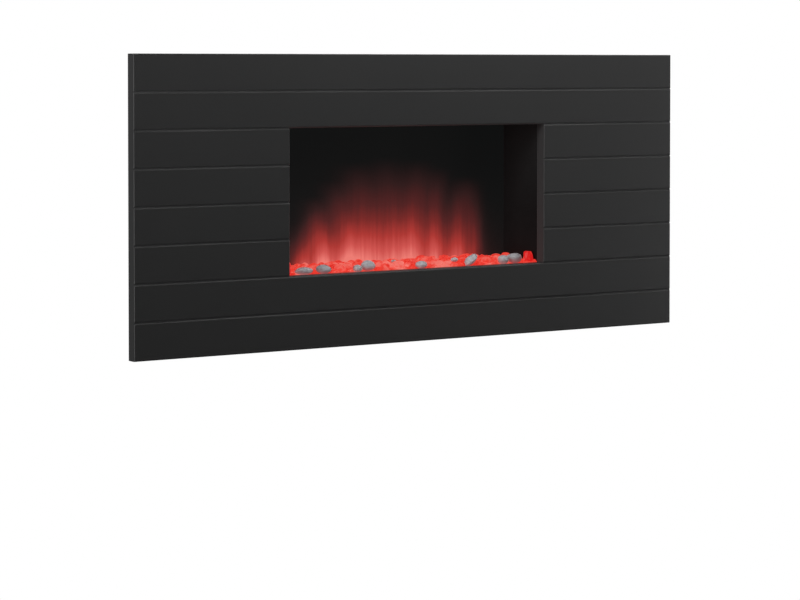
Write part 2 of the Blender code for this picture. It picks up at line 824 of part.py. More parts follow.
def build_spindle_motor(materials, parent):
    """Small geared motor beside the flame screen, on a plate that stands off the rear cover."""
    left = SPINDLE_END + 0.020
    depth = 0.022
    centre = (left + depth / 2, SPINDLE_Y, SPINDLE_Z)
    can = rod_mesh(centre, 0.0125, depth, "X", 28)
    motor = add_piece("spindle_motor", can, materials["zinc"], centre, parent, smooth=True)
    plate = box_mesh(
        (left, SPINDLE_Y - 0.005, SPINDLE_Z - 0.018),
        (left + 0.0015, CASE_REAR_Y - 0.0010, SPINDLE_Z + 0.018),
    )
    foot = box_mesh(
        (left, CASE_REAR_Y - 0.0015, SPINDLE_Z - 0.018),
        (left + 0.032, CASE_REAR_Y, SPINDLE_Z + 0.018),
    )
    fuse(motor, [plate, foot])
    bore_centre = (left + 0.002, SPINDLE_Y, SPINDLE_Z)
    return cut(motor, [rod_mesh(bore_centre, 0.0015 + GAP, 0.014, "X", 16)])


def build_spindle_bush(materials, parent):
    """Nylon block on the rear cover that the shaft's left end runs in."""
    outer = -SPINDLE_END - 0.001
    inner = outer + 0.008
    half = 0.007
    low = (outer, SPINDLE_Y - half, SPINDLE_Z - half)
    high = (inner, CASE_REAR_Y, SPINDLE_Z + half)
    bush = box_piece("spindle_bush", low, high, materials["nylon"], parent)
    bore = rod_mesh((outer + 0.004, SPINDLE_Y, SPINDLE_Z), SPINDLE_SHAFT + GAP, 0.016, "X", 16)
    return cut(bush, [bore])


def led_board(name, low, high, lamp_pitch, supports, materials, parent):
    """A narrow circuit board with a row of lamps along the top, and what holds it."""
    board = box_piece(name, low, high, materials["board_green"], parent)
    lamps = list(supports)
    y = (low[1] + high[1]) / 2
    count = int((high[0] - low[0] - 0.010) / lamp_pitch)
    for index in range(count + 1):
        x = (low[0] + high[0]) / 2 + (index - count / 2) * lamp_pitch
        lamps.append(
            box_mesh(
                (x - 0.0025, y - 0.0025, high[2] - 0.0005),
                (x + 0.0025, y + 0.0025, high[2] + 0.0012),
            )
        )
    return fuse(board, lamps)


def build_led_boards(materials, parent):
    """One lamp board under the fuel bed and one under the flame spindle."""
    board_thickness = 0.0016
    post_xs = [(rib - TRAY_WINDOWS / 2) * TRAY_WINDOW_PITCH for rib in range(1, TRAY_WINDOWS)]
    tray_underside = TRAY_TOP_Z - SHEET - GAP
    ember_top = tray_underside - 0.0030
    ember_low = (-0.225, LAMP_LINE_Y - 0.008, ember_top - board_thickness)
    ember_high = (0.225, LAMP_LINE_Y + 0.008, ember_top)
    post_bottom = ember_top - 0.0005
    post_length = tray_underside - post_bottom
    post_z = (tray_underside + post_bottom) / 2
    posts = [rod_mesh((x, LAMP_LINE_Y, post_z), 0.0025, post_length, "Z", 12) for x in post_xs]
    led_board("ember_lamp_board", ember_low, ember_high, 0.0307, posts, materials, parent)

    flame_top = SPINDLE_Z - 0.0150
    flame_low = (-0.225, SPINDLE_Y - 0.009, flame_top - board_thickness)
    flame_high = (0.225, SPINDLE_Y + 0.009, flame_top)
    brackets = [
        box_mesh(
            (x - 0.008, flame_high[1] - 0.001, flame_low[2]),
            (x + 0.008, CASE_REAR_Y, flame_high[2]),
        )
        for x in (-0.200, 0.0, 0.200)
    ]
    led_board("flame_lamp_board", flame_low, flame_high, 0.025, brackets, materials, parent)


# --- Fan heater ---------------------------------------------------------------------


def around_blower(degrees, radius):
    """A point in the side view (y, z), at an angle from +Y towards +Z about the fan's axis."""
    angle = math.radians(degrees)
    return (BLOWER_Y + radius * math.cos(angle), BLOWER_Z + radius * math.sin(angle))


def build_blower_scroll(materials, parent):
    """Scroll sheet: it wraps the fan's front and runs down to the outlet."""
    steps = 12
    path = []
    for step in range(steps + 1):
        share = step / steps
        path.append(around_blower(115 + 75 * share, IMPELLER_RADIUS + 0.0015 + 0.0055 * share))
    path.append((path[-1][0], FLOOR_Z + GAP))
    outline = strip_outline(path, -0.0010)
    left = BLOWER_LEFT - 0.002
    right = BLOWER_RIGHT + 0.002
    scroll = prism_mesh(outline, "X", left, right)
    add_piece("blower_scroll", scroll, materials["zinc"], (0, BLOWER_Y, BLOWER_Z), parent)


def build_blower_tongue(materials, parent):
    """Bent sheet on the fan's rear side that parts the inlet from the outlet."""
    path = [
        around_blower(12, IMPELLER_RADIUS + 0.0070),
        around_blower(-18, IMPELLER_RADIUS + 0.0020),
        around_blower(-38, IMPELLER_RADIUS + 0.0025),
        (BLOWER_Y + 0.0165, BLOWER_Z - 0.0200),
        (BLOWER_Y + 0.0165, FLOOR_Z + GAP),
    ]
    outline = strip_outline(path, 0.0010)
    tongue = prism_mesh(outline, "X", BLOWER_LEFT - 0.002, BLOWER_RIGHT + 0.002)
    add_piece("blower_tongue", tongue, materials["zinc"], (0, BLOWER_Y + 0.018, BLOWER_Z), parent)


def motor_pillars(start):
    """Two pillars from the right end plate to the face of the motor's iron core."""
    stop = MOTOR_LEFT - GAP
    centre_x = (start + stop) / 2
    height = BLOWER_Z + 0.0175
    reach = 0.0185
    return [
        rod_mesh((centre_x, BLOWER_Y + side * reach, height), 0.0025, stop - start, "X", 12)
        for side in (-1, 1)
    ]


def build_blower_ends(materials, parent):
    """End plates of the scroll, each with a hole for the fan's shaft."""
    places = (("left", BLOWER_LEFT - 0.002 - GAP - SHEET), ("right", BLOWER_RIGHT + 0.002 + GAP))
    for label, x in places:
        low = (x, BLOWER_Y - 0.029, FLOOR_Z + GAP)
        high = (x + SHEET, BLOWER_Y + 0.029, BLOWER_Z + 0.024)
        plate = box_piece(f"blower_end_{label}", low, high, materials["zinc"], parent)
        if label == "right":
            fuse(plate, motor_pillars(x + SHEET / 2))
        hole = rod_mesh((x, BLOWER_Y, BLOWER_Z), BLOWER_SHAFT + 0.0008, 0.01, "X", 16)
        cut(plate, [hole])


def blade_outline(turn):
    """One curved fan blade, in the side view."""
    path = []
    steps = 3
    for step in range(steps + 1):
        share = step / steps
        radius = IMPELLER_RADIUS - 0.0003 - 0.0050 * share
        path.append(around_blower(turn + 26 * share * share, radius))
    return strip_outline(path, 0.0006)


def build_blower_impeller(materials, parent):
    """Cross-flow fan: a cage of curved blades between end discs, on one stub shaft."""
    disc = 0.0015
    left_disc = (BLOWER_LEFT + disc / 2, BLOWER_Y, BLOWER_Z)
    origin = (0, BLOWER_Y, BLOWER_Z)
    body = rod_mesh(left_disc, IMPELLER_RADIUS, disc, "X", 32)
    impeller = add_piece("blower_impeller", body, materials["aluminium"], origin, parent)
    shapes = [rod_mesh((BLOWER_RIGHT - disc / 2, BLOWER_Y, BLOWER_Z), IMPELLER_RADIUS, disc, "X", 32)]
    stub_left = BLOWER_LEFT - 0.0125
    stub_centre = ((stub_left + BLOWER_LEFT + disc / 2) / 2, BLOWER_Y, BLOWER_Z)
    stub_length = BLOWER_LEFT + disc / 2 - stub_left
    shapes.append(rod_mesh(stub_centre, BLOWER_SHAFT, stub_length, "X", 16))
    for index in range(IMPELLER_BLADES):
        outline = blade_outline(360 * index / IMPELLER_BLADES)
        shapes.append(prism_mesh(outline, "X", BLOWER_LEFT + disc / 2, BLOWER_RIGHT - disc / 2))
    return fuse(impeller, shapes)


def build_blower_rotor(materials, parent):
    """Motor rotor on the shaft that drives the fan."""
    centre = (MOTOR_LEFT + MOTOR_DEPTH / 2, BLOWER_Y, BLOWER_Z)
    core = rod_mesh(centre, ROTOR_RADIUS, MOTOR_DEPTH - 0.001, "X", 32)
    rotor = add_piece("blower_rotor", core, materials["zinc"], centre, parent, smooth=True)
    start = BLOWER_RIGHT + GAP
    stop = MOTOR_LEFT + MOTOR_DEPTH + 0.010
    shaft = rod_mesh(((start + stop) / 2, BLOWER_Y, BLOWER_Z), BLOWER_SHAFT, stop - start, "X", 16)
    return fuse(rotor, [shaft])


def build_blower_bearing(materials, parent):
    """Bearing block on the left end plate."""
    right = BLOWER_LEFT - 0.002 - GAP - SHEET - GAP
    left = right - 0.009
    centre = ((left + right) / 2, BLOWER_Y, BLOWER_Z)
    block = rod_mesh(centre, 0.0080, right - left, "X", 24)
    bearing = add_piece("blower_bearing", block, materials["nylon"], centre, parent, smooth=True)
    return cut(bearing, [rod_mesh(centre, BLOWER_SHAFT + GAP, 0.02, "X", 16)])


def build_motor_core(materials, parent):
    """Laminated iron of the shaded-pole motor: rotor bore above, winding leg below."""
    low = (MOTOR_LEFT, BLOWER_Y - 0.023, BLOWER_Z - 0.039)
    high = (MOTOR_LEFT + MOTOR_DEPTH, BLOWER_Y + 0.023, BLOWER_Z + 0.022)
    core = box_piece("motor_core", low, high, materials["zinc"], parent)
    through_low = MOTOR_LEFT - 0.005
    through_high = MOTOR_LEFT + MOTOR_DEPTH + 0.005
    centre = ((through_low + through_high) / 2, BLOWER_Y, BLOWER_Z)
    bore = rod_mesh(centre, ROTOR_RADIUS + 0.0005, through_high - through_low, "X", 32)
    window = box_mesh(
        (through_low, BLOWER_Y - 0.0155, BLOWER_Z - 0.0320),
        (through_high, BLOWER_Y + 0.0155, BLOWER_Z - 0.0230),
    )
    return cut(core, [bore, window])


def build_motor_coil(materials, parent):
    """Winding around the motor's lower leg."""
    left = MOTOR_LEFT - 0.007
    right = MOTOR_LEFT + MOTOR_DEPTH + 0.007
    low = (left, BLOWER_Y - 0.0150, BLOWER_Z - 0.0455)
    high = (right, BLOWER_Y + 0.0150, BLOWER_Z - 0.0235)
    coil = box_piece("motor_coil", low, high, materials["copper"], parent)
    leg = box_mesh(
        (MOTOR_LEFT - GAP, BLOWER_Y - 0.0200, BLOWER_Z - 0.0390 - GAP),
        (MOTOR_LEFT + MOTOR_DEPTH + GAP, BLOWER_Y + 0.0200, BLOWER_Z - 0.0320 + GAP),
    )
    return cut(coil, [leg])


def build_motor_bridge(materials, parent):
    """Strip across the motor's outer face that holds the rotor's far bearing."""
    left = MOTOR_LEFT + MOTOR_DEPTH + GAP
    low = (left, BLOWER_Y - 0.022, BLOWER_Z - 0.007)
    high = (left + 0.002, BLOWER_Y + 0.022, BLOWER_Z + 0.007)
    bridge = box_piece("motor_bridge", low, high, materials["zinc"], parent)
    boss = rod_mesh((left + 0.0040, BLOWER_Y, BLOWER_Z), 0.0060, 0.0060, "X", 20)
    fuse(bridge, [boss])
    hole = rod_mesh((left + 0.003, BLOWER_Y, BLOWER_Z), BLOWER_SHAFT + GAP, 0.02, "X", 16)
    return cut(bridge, [hole])


def build_heater_element(materials, parent):
    """Heater block across the outlet, with a row of fin gaps that the air passes through."""
    low = (BLOWER_LEFT + 0.002, BLOWER_Y - 0.0180, FLOOR_Z + 0.0060)
    high = (BLOWER_RIGHT - 0.002, BLOWER_Y + 0.0130, FLOOR_Z + 0.0180)
    element = box_piece("heater_element", low, high, materials["ceramic"], parent)
    gaps = []
    count = 22
    pitch = 0.0105
    for index in range(count):
        x = (low[0] + high[0]) / 2 + (index - (count - 1) / 2) * pitch
        for y_low, y_high in ((low[1] + 0.003, BLOWER_Y - 0.0045), (BLOWER_Y - 0.0005, high[1] - 0.003)):
            gaps.append(box_mesh((x - 0.0037, y_low, low[2] - 0.003), (x + 0.0037, y_high, high[2] + 0.003)))
    return cut(element, gaps)


def build_thermal_cutout(materials, parent):
    """Round safety thermostat on a strap, on the outlet's rear wall."""
    face_y = BLOWER_Y + 0.0165 + 0.0010 + GAP
    centre = (0.040, face_y + 0.0015, FLOOR_Z + 0.0120)
    strap = box_mesh((0.026, face_y, FLOOR_Z + 0.0070), (0.054, face_y + 0.0010, FLOOR_Z + 0.0170))
    cutout = add_piece("thermal_cutout", strap, materials["plastic"], centre, parent)
    button = rod_mesh((0.040, face_y + 0.0045, FLOOR_Z + 0.0120), 0.0078, 0.0080, "Y", 20)
    tags = [
        box_mesh((x, face_y + 0.0080, FLOOR_Z + 0.0100), (x + 0.0008, face_y + 0.0150, FLOOR_Z + 0.0140))
        for x in (0.0365, 0.0427)
    ]
    return fuse(cutout, [button, *tags])


# --- Electrics ----------------------------------------------------------------------


def build_control_board(materials, parent):
    """Control board behind the front frame, with relays, capacitor and terminals."""
    face_y = CASE_FRONT_Y + 0.010
    low = (0.268, face_y, MID_Z - 0.030)
    high = (0.372, face_y + 0.0016, MID_Z + 0.090)
    board = box_piece("control_board", low, high, materials["board_green"], parent)
    back = high[1] - 0.0004
    parts = []
    for column in (0, 1):
        x = 0.280 + 0.030 * column
        parts.append(box_mesh((x, back, MID_Z + 0.050), (x + 0.020, back + 0.016, MID_Z + 0.078)))
    parts.append(box_mesh((0.278, back, MID_Z - 0.018), (0.318, back + 0.010, MID_Z - 0.006)))
    parts.append(box_mesh((0.330, back, MID_Z - 0.018), (0.362, back + 0.010, MID_Z - 0.006)))
    parts.append(rod_mesh((0.292, back + 0.008, MID_Z + 0.024), 0.0090, 0.016, "Y", 20))
    parts.append(box_mesh((0.316, back, MID_Z + 0.010), (0.356, back + 0.004, MID_Z + 0.034)))
    for x in (0.273, 0.367):
        for z in (MID_Z - 0.025, MID_Z + 0.085):
            parts.append(rod_mesh((x, face_y - 0.0045, z), 0.0030, 0.0105, "Y", 12))
    return fuse(board, parts)


def build_terminal_block(materials, parent):
    """Three-way terminal block on the floor of the case, beside the cord inlet."""
    low = (0.336, GLAND_Y - 0.017, FLOOR_Z + GAP)
    high = (0.358, GLAND_Y + 0.017, FLOOR_Z + 0.018)
    block = box_piece("terminal_block", low, high, materials["nylon"], parent)
    wells = []
    for index in (-1, 0, 1):
        y = GLAND_Y + 0.011 * index
        wells.append(rod_mesh((0.347, y, FLOOR_Z + 0.018), 0.0030, 0.012, "Z", 16))
    return cut(block, wells)


def build_cord_inlet(materials, parent):
    """Cord gland through the case's right side: flange outside, nut inside, bore through."""
    centre = (CASE_SIDE_X, GLAND_Y, GLAND_Z)
    sleeve = rod_mesh(centre, 0.0071, 0.022, "X", 24)
    gland = add_piece("cord_inlet", sleeve, materials["plastic"], centre, parent, smooth=True)
    flange_x = CASE_SIDE_X + GAP + 0.0035
    nut_x = CASE_SIDE_X - SHEET - GAP - 0.0025
    flange = rod_mesh((flange_x, GLAND_Y, GLAND_Z), 0.0110, 0.0070, "X", 6)
    nut = rod_mesh((nut_x, GLAND_Y, GLAND_Z), 0.0105, 0.0050, "X", 6)
    fuse(gland, [flange, nut])
    return cut(gland, [rod_mesh(centre, GLAND_BORE, 0.04, "X", 24)])


def build_switches(materials, case, machine):
    """Three snap-in rocker switches: a housing each, and a rocker on its pivot."""
    for index, label in enumerate(SWITCH_NAMES):
        z = switch_height(index)
        body_low = (CASE_SIDE_X - 0.019, SWITCH_Y - 0.0063, z - 0.0094)
        body_high = (CASE_SIDE_X + GAP + 0.0010, SWITCH_Y + 0.0063, z + 0.0094)
        housing = box_piece(f"{label}_switch_housing", body_low, body_high, materials["plastic"], case)
        bezel = box_mesh(
            (CASE_SIDE_X + GAP, SWITCH_Y - 0.0078, z - 0.0112),
            (CASE_SIDE_X + GAP + 0.0020, SWITCH_Y + 0.0078, z + 0.0112),
        )
        fuse(housing, [bezel])
        pocket = box_mesh(
            (CASE_SIDE_X - 0.0048, SWITCH_Y - 0.0053, z - 0.0086),
            (CASE_SIDE_X + 0.0100, SWITCH_Y + 0.0053, z + 0.0086),
        )
        cut(housing, [pocket])
        rocker_piece(f"{label}_rocker", z, materials, machine)


def rocker_piece(name, z, materials, parent):
    """A rocker with a shallow V face, tilted so that its upper end stands out."""
    half_length = 0.0080
    half_width = 0.0049
    outline = [
        (-0.0004, -half_length),
        (-0.0032, -0.0030),
        (-0.0032, 0.0030),
        (-0.0004, half_length),
        (0.0028, half_length),
        (0.0018, 0.0),
        (0.0028, -half_length),
    ]
    rocker_mesh = prism_mesh(outline, "Y", -half_width, half_width)
    rocker = add_piece(name, rocker_mesh, materials["plastic"], (0, 0, 0), parent)
    place(rocker, (ROCKER_PIVOT_X, SWITCH_Y, z), parent)
    rocker.rotation_euler = (0.0, SWITCH_TILT, 0.0)
    return rocker


def smooth_route(points, per_stretch=6):
    """Points along a smooth curve through a few route points."""
    padded = [points[0], *points, points[-1]]
    route = []
    for index in range(1, len(padded) - 2):
        p0, p1, p2, p3 = (Vector(padded[index + shift]) for shift in (-1, 0, 1, 2))
        for step in range(per_stretch):
            t = step / per_stretch
            bend = 2 * p1 + (p2 - p0) * t + (2 * p0 - 5 * p1 + 4 * p2 - p3) * t ** 2
            route.append((bend + (3 * p1 - p0 - 3 * p2 + p3) * t ** 3) / 2)
    route.append(Vector(points[-1]))
    return route


def build_wiring(materials, parent):
    """Sleeved wiring from the control board down to the blower motor."""
    start = Vector((0.298, CASE_FRONT_Y + 0.0160, MID_Z - 0.0180 - GAP))
    finish = Vector((MOTOR_LEFT + MOTOR_DEPTH + 0.0070 + GAP, BLOWER_Y, BLOWER_Z - 0.0290))
    points = [
        start,
        start + Vector((0.0, 0.0, -0.014)),
        start + Vector((-0.006, 0.010, -0.060)),
        start + Vector((-0.036, 0.022, -0.120)),
        finish + Vector((0.044, 0.006, 0.006)),
        finish + Vector((0.010, 0.0, 0.0)),
        finish,
    ]
    route = smooth_route(points)
    curve = bpy.data.curves.new("motor_wiring", "CURVE")
    curve.dimensions = "3D"
    curve.bevel_depth = 0.0028
    curve.bevel_resolution = 2
    curve.use_fill_caps = True
    spline = curve.splines.new("POLY")
    spline.points.add(len(route) - 1)
    for point, place_on_route in zip(spline.points, route):
        point.co = (*place_on_route, 1.0)
    wiring = bpy.data.objects.new("motor_wiring", curve)
    bpy.context.collection.objects.link(wiring)
    place(wiring, (0, 0, 0), parent)
    curve.materials.append(materials["nylon"])
    return wiring


# --- Assembly -----------------------------------------------------------------------


def build_fireplace():
    """Builds every piece, grouped under the body that carries it."""
    remove_everything()
    materials = make_materials()
    rail_group = make_empty("rail_group", (0, 0, 0))
    fire_group = make_empty("fire_group", (0, REAR_Y, LIP_TOP_Z), rail_group)
    board_group = make_empty("board_group", (0, FRONT_BACK_Y, BOARD_HOOK_Z), fire_group)
    spindle_group = make_empty("spindle_group", (0, SPINDLE_Y, SPINDLE_Z), fire_group)
    blower_group = make_empty("blower_group", (0, BLOWER_Y, BLOWER_Z), fire_group)
    rocker_group = make_empty("rocker_group", (ROCKER_PIVOT_X, SWITCH_Y, MID_Z), fire_group)

    build_wall_rail(materials, rail_group)

    build_front_board(materials, board_group)
    build_board_hooks(materials, board_group)

    for build in (
        build_front_frame,
        build_case_base,
        build_case_top,
        build_case_sides,
        build_rear_cover,
        build_wall_hangers,
        build_rubber_feet,
        build_liners,
        build_ember_tray,
        build_ember_bed,
        build_pebbles,
        build_flame_screen,
        build_screen_clips,
        build_flame_template,
        build_spindle_motor,
        build_spindle_bush,
        build_led_boards,
        build_blower_scroll,
        build_blower_tongue,
        build_blower_ends,
        build_blower_bearing,
        build_motor_core,
        build_motor_coil,
        build_motor_bridge,
        build_heater_element,
        build_thermal_cutout,
        build_control_board,
        build_terminal_block,
        build_cord_inlet,
        build_wiring,
    ):
        build(materials, fire_group)

    build_flame_spindle(materials, spindle_group)
    build_spindle_coupling(materials, spindle_group)
    build_blower_impeller(materials, blower_group)
    build_blower_rotor(materials, blower_group)
    build_switches(materials, fire_group, rocker_group)


build_fireplace()
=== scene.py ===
"""Looks of the wall-hung electric fireplace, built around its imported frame.

Metres, +Z up. The front faces -Y and the wall is the plane y = 0. Every piece is made in
the frame's own coordinates and rides on the body that carries it.

The order below: measures read from the frame, the fire's colours, the material helper,
one function per material, the pieces, then the floor, lights and camera.
"""

import json
import math
import random

import bmesh
import bpy
from mathutils import Matrix, Vector, noise

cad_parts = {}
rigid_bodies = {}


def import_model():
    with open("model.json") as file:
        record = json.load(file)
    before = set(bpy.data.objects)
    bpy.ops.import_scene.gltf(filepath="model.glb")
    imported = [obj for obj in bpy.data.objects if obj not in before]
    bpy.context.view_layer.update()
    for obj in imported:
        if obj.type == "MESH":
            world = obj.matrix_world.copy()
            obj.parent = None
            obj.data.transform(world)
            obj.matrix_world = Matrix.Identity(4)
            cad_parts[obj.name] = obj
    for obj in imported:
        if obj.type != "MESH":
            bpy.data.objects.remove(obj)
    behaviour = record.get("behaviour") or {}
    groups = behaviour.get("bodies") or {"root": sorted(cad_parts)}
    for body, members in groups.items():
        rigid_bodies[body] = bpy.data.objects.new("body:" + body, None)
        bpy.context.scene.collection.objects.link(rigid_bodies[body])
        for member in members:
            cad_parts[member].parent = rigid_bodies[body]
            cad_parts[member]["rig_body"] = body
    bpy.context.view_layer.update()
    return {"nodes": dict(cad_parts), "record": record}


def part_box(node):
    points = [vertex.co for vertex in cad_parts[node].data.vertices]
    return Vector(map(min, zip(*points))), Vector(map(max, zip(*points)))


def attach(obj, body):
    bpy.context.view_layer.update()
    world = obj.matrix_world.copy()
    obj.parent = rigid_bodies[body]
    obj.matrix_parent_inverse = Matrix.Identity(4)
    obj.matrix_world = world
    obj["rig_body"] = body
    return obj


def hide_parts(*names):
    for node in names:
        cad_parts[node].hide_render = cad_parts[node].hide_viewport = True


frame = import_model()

# --- Measures read from the frame ---------------------------------------------------

FRONT_LOW, FRONT_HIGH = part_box("front_board")
FRONT_MIDDLE = Vector(
    ((FRONT_LOW.x + FRONT_HIGH.x) / 2, FRONT_LOW.y, (FRONT_LOW.z + FRONT_HIGH.z) / 2)
)
BED_LOW, BED_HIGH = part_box("ember_bed")
SCREEN_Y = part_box("flame_screen")[0].y
COVER_LOW, COVER_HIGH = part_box("rear_cover")
CASE_LEFT_LOW, CASE_LEFT_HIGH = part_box("case_left")
CASE_RIGHT_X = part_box("case_right")[1].x
CASE_TOP_LOW, CASE_TOP_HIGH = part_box("case_top")
CASE_BASE_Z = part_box("case_base")[0].z
PEBBLE_NAMES = sorted(name for name in frame["nodes"] if name.startswith("pebble_"))
PEBBLE_BOXES = [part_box(name) for name in PEBBLE_NAMES]
SLOT_OF = {part["node"]: part["material_slot"] for part in frame["record"]["subparts"]}

# --- The fire's flames and colours --------------------------------------------------

# The flames start at this height on the screen
FLAME_FOOT_Z = FRONT_MIDDLE.z - 0.106

# Each tongue of flame: x of its foot, reach, half width, brightness, lean of its tip
FLAME_TONGUES = (
    (-0.153, 0.085, 0.019, 0.55, 0.030),
    (-0.141, 0.064, 0.011, 0.22, 0.030),
    (-0.110, 0.108, 0.022, 0.94, -0.017),
    (-0.067, 0.133, 0.024, 0.76, -0.028),
    (-0.027, 0.160, 0.033, 0.80, -0.023),
    (0.021, 0.167, 0.028, 0.63, -0.012),
    (0.061, 0.162, 0.027, 0.77, 0.009),
    (0.105, 0.149, 0.020, 0.73, 0.005),
    (0.146, 0.133, 0.021, 0.68, 0.015),
    (0.181, 0.130, 0.017, 0.42, -0.007),
)

# The wide haze behind the tongues: x, reach, half width, brightness
FLAME_HAZE = (0.030, 0.100, 0.165, 0.16)

# Colours of the flames, from nothing to the brightest
FLAME_COLOURS = (
    (0.00, (0.0046, 0.0050, 0.0050)),
    (0.10, (0.030, 0.0105, 0.0105)),
    (0.25, (0.085, 0.015, 0.015)),
    (0.40, (0.190, 0.021, 0.019)),
    (0.60, (0.420, 0.038, 0.032)),
    (0.80, (0.620, 0.088, 0.078)),
    (1.00, (0.840, 0.200, 0.170)),
)

# Colours of the glowing fuel
EMBER_DEEP = (0.60, 0.010, 0.010)
EMBER_RED = (0.74, 0.042, 0.026)
EMBER_PINK = (0.77, 0.165, 0.135)

# Where the glow of the fuel is washed out near the window: x, half width, amount
PALE_PATCHES = (
    (-0.205, 0.016, 0.35),
    (-0.100, 0.020, 0.55),
    (-0.027, 0.016, 0.80),
    (0.062, 0.026, 0.70),
    (0.148, 0.010, 0.55),
    (0.180, 0.008, 0.60),
)

# How far back from the window the washed-out patches reach
PALE_DEPTH = 0.050

# How washed out the fuel is elsewhere, and how much that varies, with its features per metre
PALE_BASE = 0.20
PALE_SWING = 0.30
PALE_SCALE = 42.0


# --- Material helper ----------------------------------------------------------------


class Paint:
    """A Principled material whose detail is textured in the object's own metres."""

    def __init__(self, name, colour, roughness, **constants):
        self.material = bpy.data.materials.new(f"{name}_finish")
        self.material.use_nodes = True
        self.tree = self.material.node_tree
        self.shader = self.tree.nodes["Principled BSDF"]
        self.shader.inputs["Base Color"].default_value = (*colour, 1.0)
        self.shader.inputs["Roughness"].default_value = roughness
        for socket, value in constants.items():
            self.shader.inputs[socket.replace("_", " ")].default_value = value
        self.place = self.add("TexCoord").outputs["Object"]
        self.last_bump = None

    def add(self, kind, **settings):
        """A new node, with its settings."""
        node = self.tree.nodes.new("ShaderNode" + kind)
        for name, value in settings.items():
            setattr(node, name, value)
        return node

    def feed(self, socket, value):
        """Gives a socket a link or a constant."""
        if isinstance(value, bpy.types.NodeSocket):
            self.tree.links.new(value, socket)
        else:
            socket.default_value = value

    def stretched(self, scale):
        """The object's coordinates, multiplied along each axis."""
        mapping = self.add("Mapping")
        self.feed(mapping.inputs["Vector"], self.place)
        mapping.inputs["Scale"].default_value = scale
        return mapping.outputs["Vector"]

    def axis(self, letter):
        """One coordinate, in metres."""
        split = self.add("SeparateXYZ")
        self.feed(split.inputs["Vector"], self.place)
        return split.outputs[letter]

    def facing(self, letter):
        """One part of the surface's own normal."""
        split = self.add("SeparateXYZ")
        self.feed(split.inputs["Vector"], self.add("TexCoord").outputs["Normal"])
        return split.outputs[letter]

    def grain(self, scale, detail=3.0, roughness=0.5, stretch=None):
        """Soft noise from 0 to 1; scale is in features per metre."""
        node = self.add("TexNoise")
        self.feed(node.inputs["Vector"], self.stretched(stretch) if stretch else self.place)
        node.inputs["Scale"].default_value = scale
        node.inputs["Detail"].default_value = detail
        node.inputs["Roughness"].default_value = roughness
        return node.outputs["Fac"]

    def cells(self, scale, output="Distance", feature="F1"):
        """Voronoi cells: the distance to a cell's middle, or the cell's own colour."""
        node = self.add("TexVoronoi", feature=feature)
        self.feed(node.inputs["Vector"], self.place)
        node.inputs["Scale"].default_value = scale
        return node.outputs[output]

    def ridges(self, axis, scale):
        """Straight parallel ridges, one after another along an axis."""
        node = self.add("TexWave", bands_direction=axis, wave_profile="SIN")
        self.feed(node.inputs["Vector"], self.place)
        node.inputs["Scale"].default_value = scale
        return node.outputs["Fac"]

    def sum(self, operation, first, second=None, third=None):
        """Arithmetic on sockets or numbers."""
        node = self.add("Math", operation=operation)
        for socket, value in zip(node.inputs, (first, second, third)):
            if value is not None:
                self.feed(socket, value)
        return node.outputs[0]

    def levels(self, value, low, high, to_low=0.0, to_high=1.0):
        """Maps a range onto another, clamped."""
        node = self.add("MapRange")
        self.feed(node.inputs["Value"], value)
        for name, number in (
            ("From Min", low), ("From Max", high), ("To Min", to_low), ("To Max", to_high)
        ):
            node.inputs[name].default_value = number
        return node.outputs["Result"]

    def ramp(self, value, stops):
        """A colour ramp with its stops as (position, colour)."""
        node = self.add("ValToRGB")
        self.feed(node.inputs["Fac"], value)
        ramp = node.color_ramp
        while len(ramp.elements) < len(stops):
            ramp.elements.new(1.0)
        for element, (position, colour) in zip(ramp.elements, stops):
            element.position = position
            element.color = (*colour, 1.0)
        return node.outputs["Color"]

    def mix(self, factor, first, second):
        """A mix of two colours."""
        node = self.add("Mix", data_type="RGBA")
        self.feed(node.inputs[0], factor)
        for socket, value in ((node.inputs[6], first), (node.inputs[7], second)):
            self.feed(socket, value if isinstance(value, bpy.types.NodeSocket) else (*value, 1.0))
        return node.outputs[2]

    def attribute(self, name):
        """A number stored on the mesh's points."""
        return self.add("Attribute", attribute_name=name).outputs["Fac"]

    def colour(self, value):
        """Sets the base colour."""
        self.feed(self.shader.inputs["Base Color"], value)

    def roughness(self, value):
        """Sets how matt the surface is."""
        self.feed(self.shader.inputs["Roughness"], value)

    def glow(self, colour):
        """Gives the surface light of its own."""
        self.feed(self.shader.inputs["Emission Color"], colour)
        self.shader.inputs["Emission Strength"].default_value = 1.0

    def bump(self, height, depth):
        """Adds relief of a real depth in metres."""
        node = self.add("Bump")
        self.feed(node.inputs["Height"], height)
        node.inputs["Distance"].default_value = depth
        if self.last_bump is not None:
            self.feed(node.inputs["Normal"], self.last_bump)
        self.last_bump = node.outputs["Normal"]
        self.feed(self.shader.inputs["Normal"], self.last_bump)


# --- Materials ----------------------------------------------------------------------

# Depth of the front board's V-grooves
GROOVE_DEPTH = 0.0022


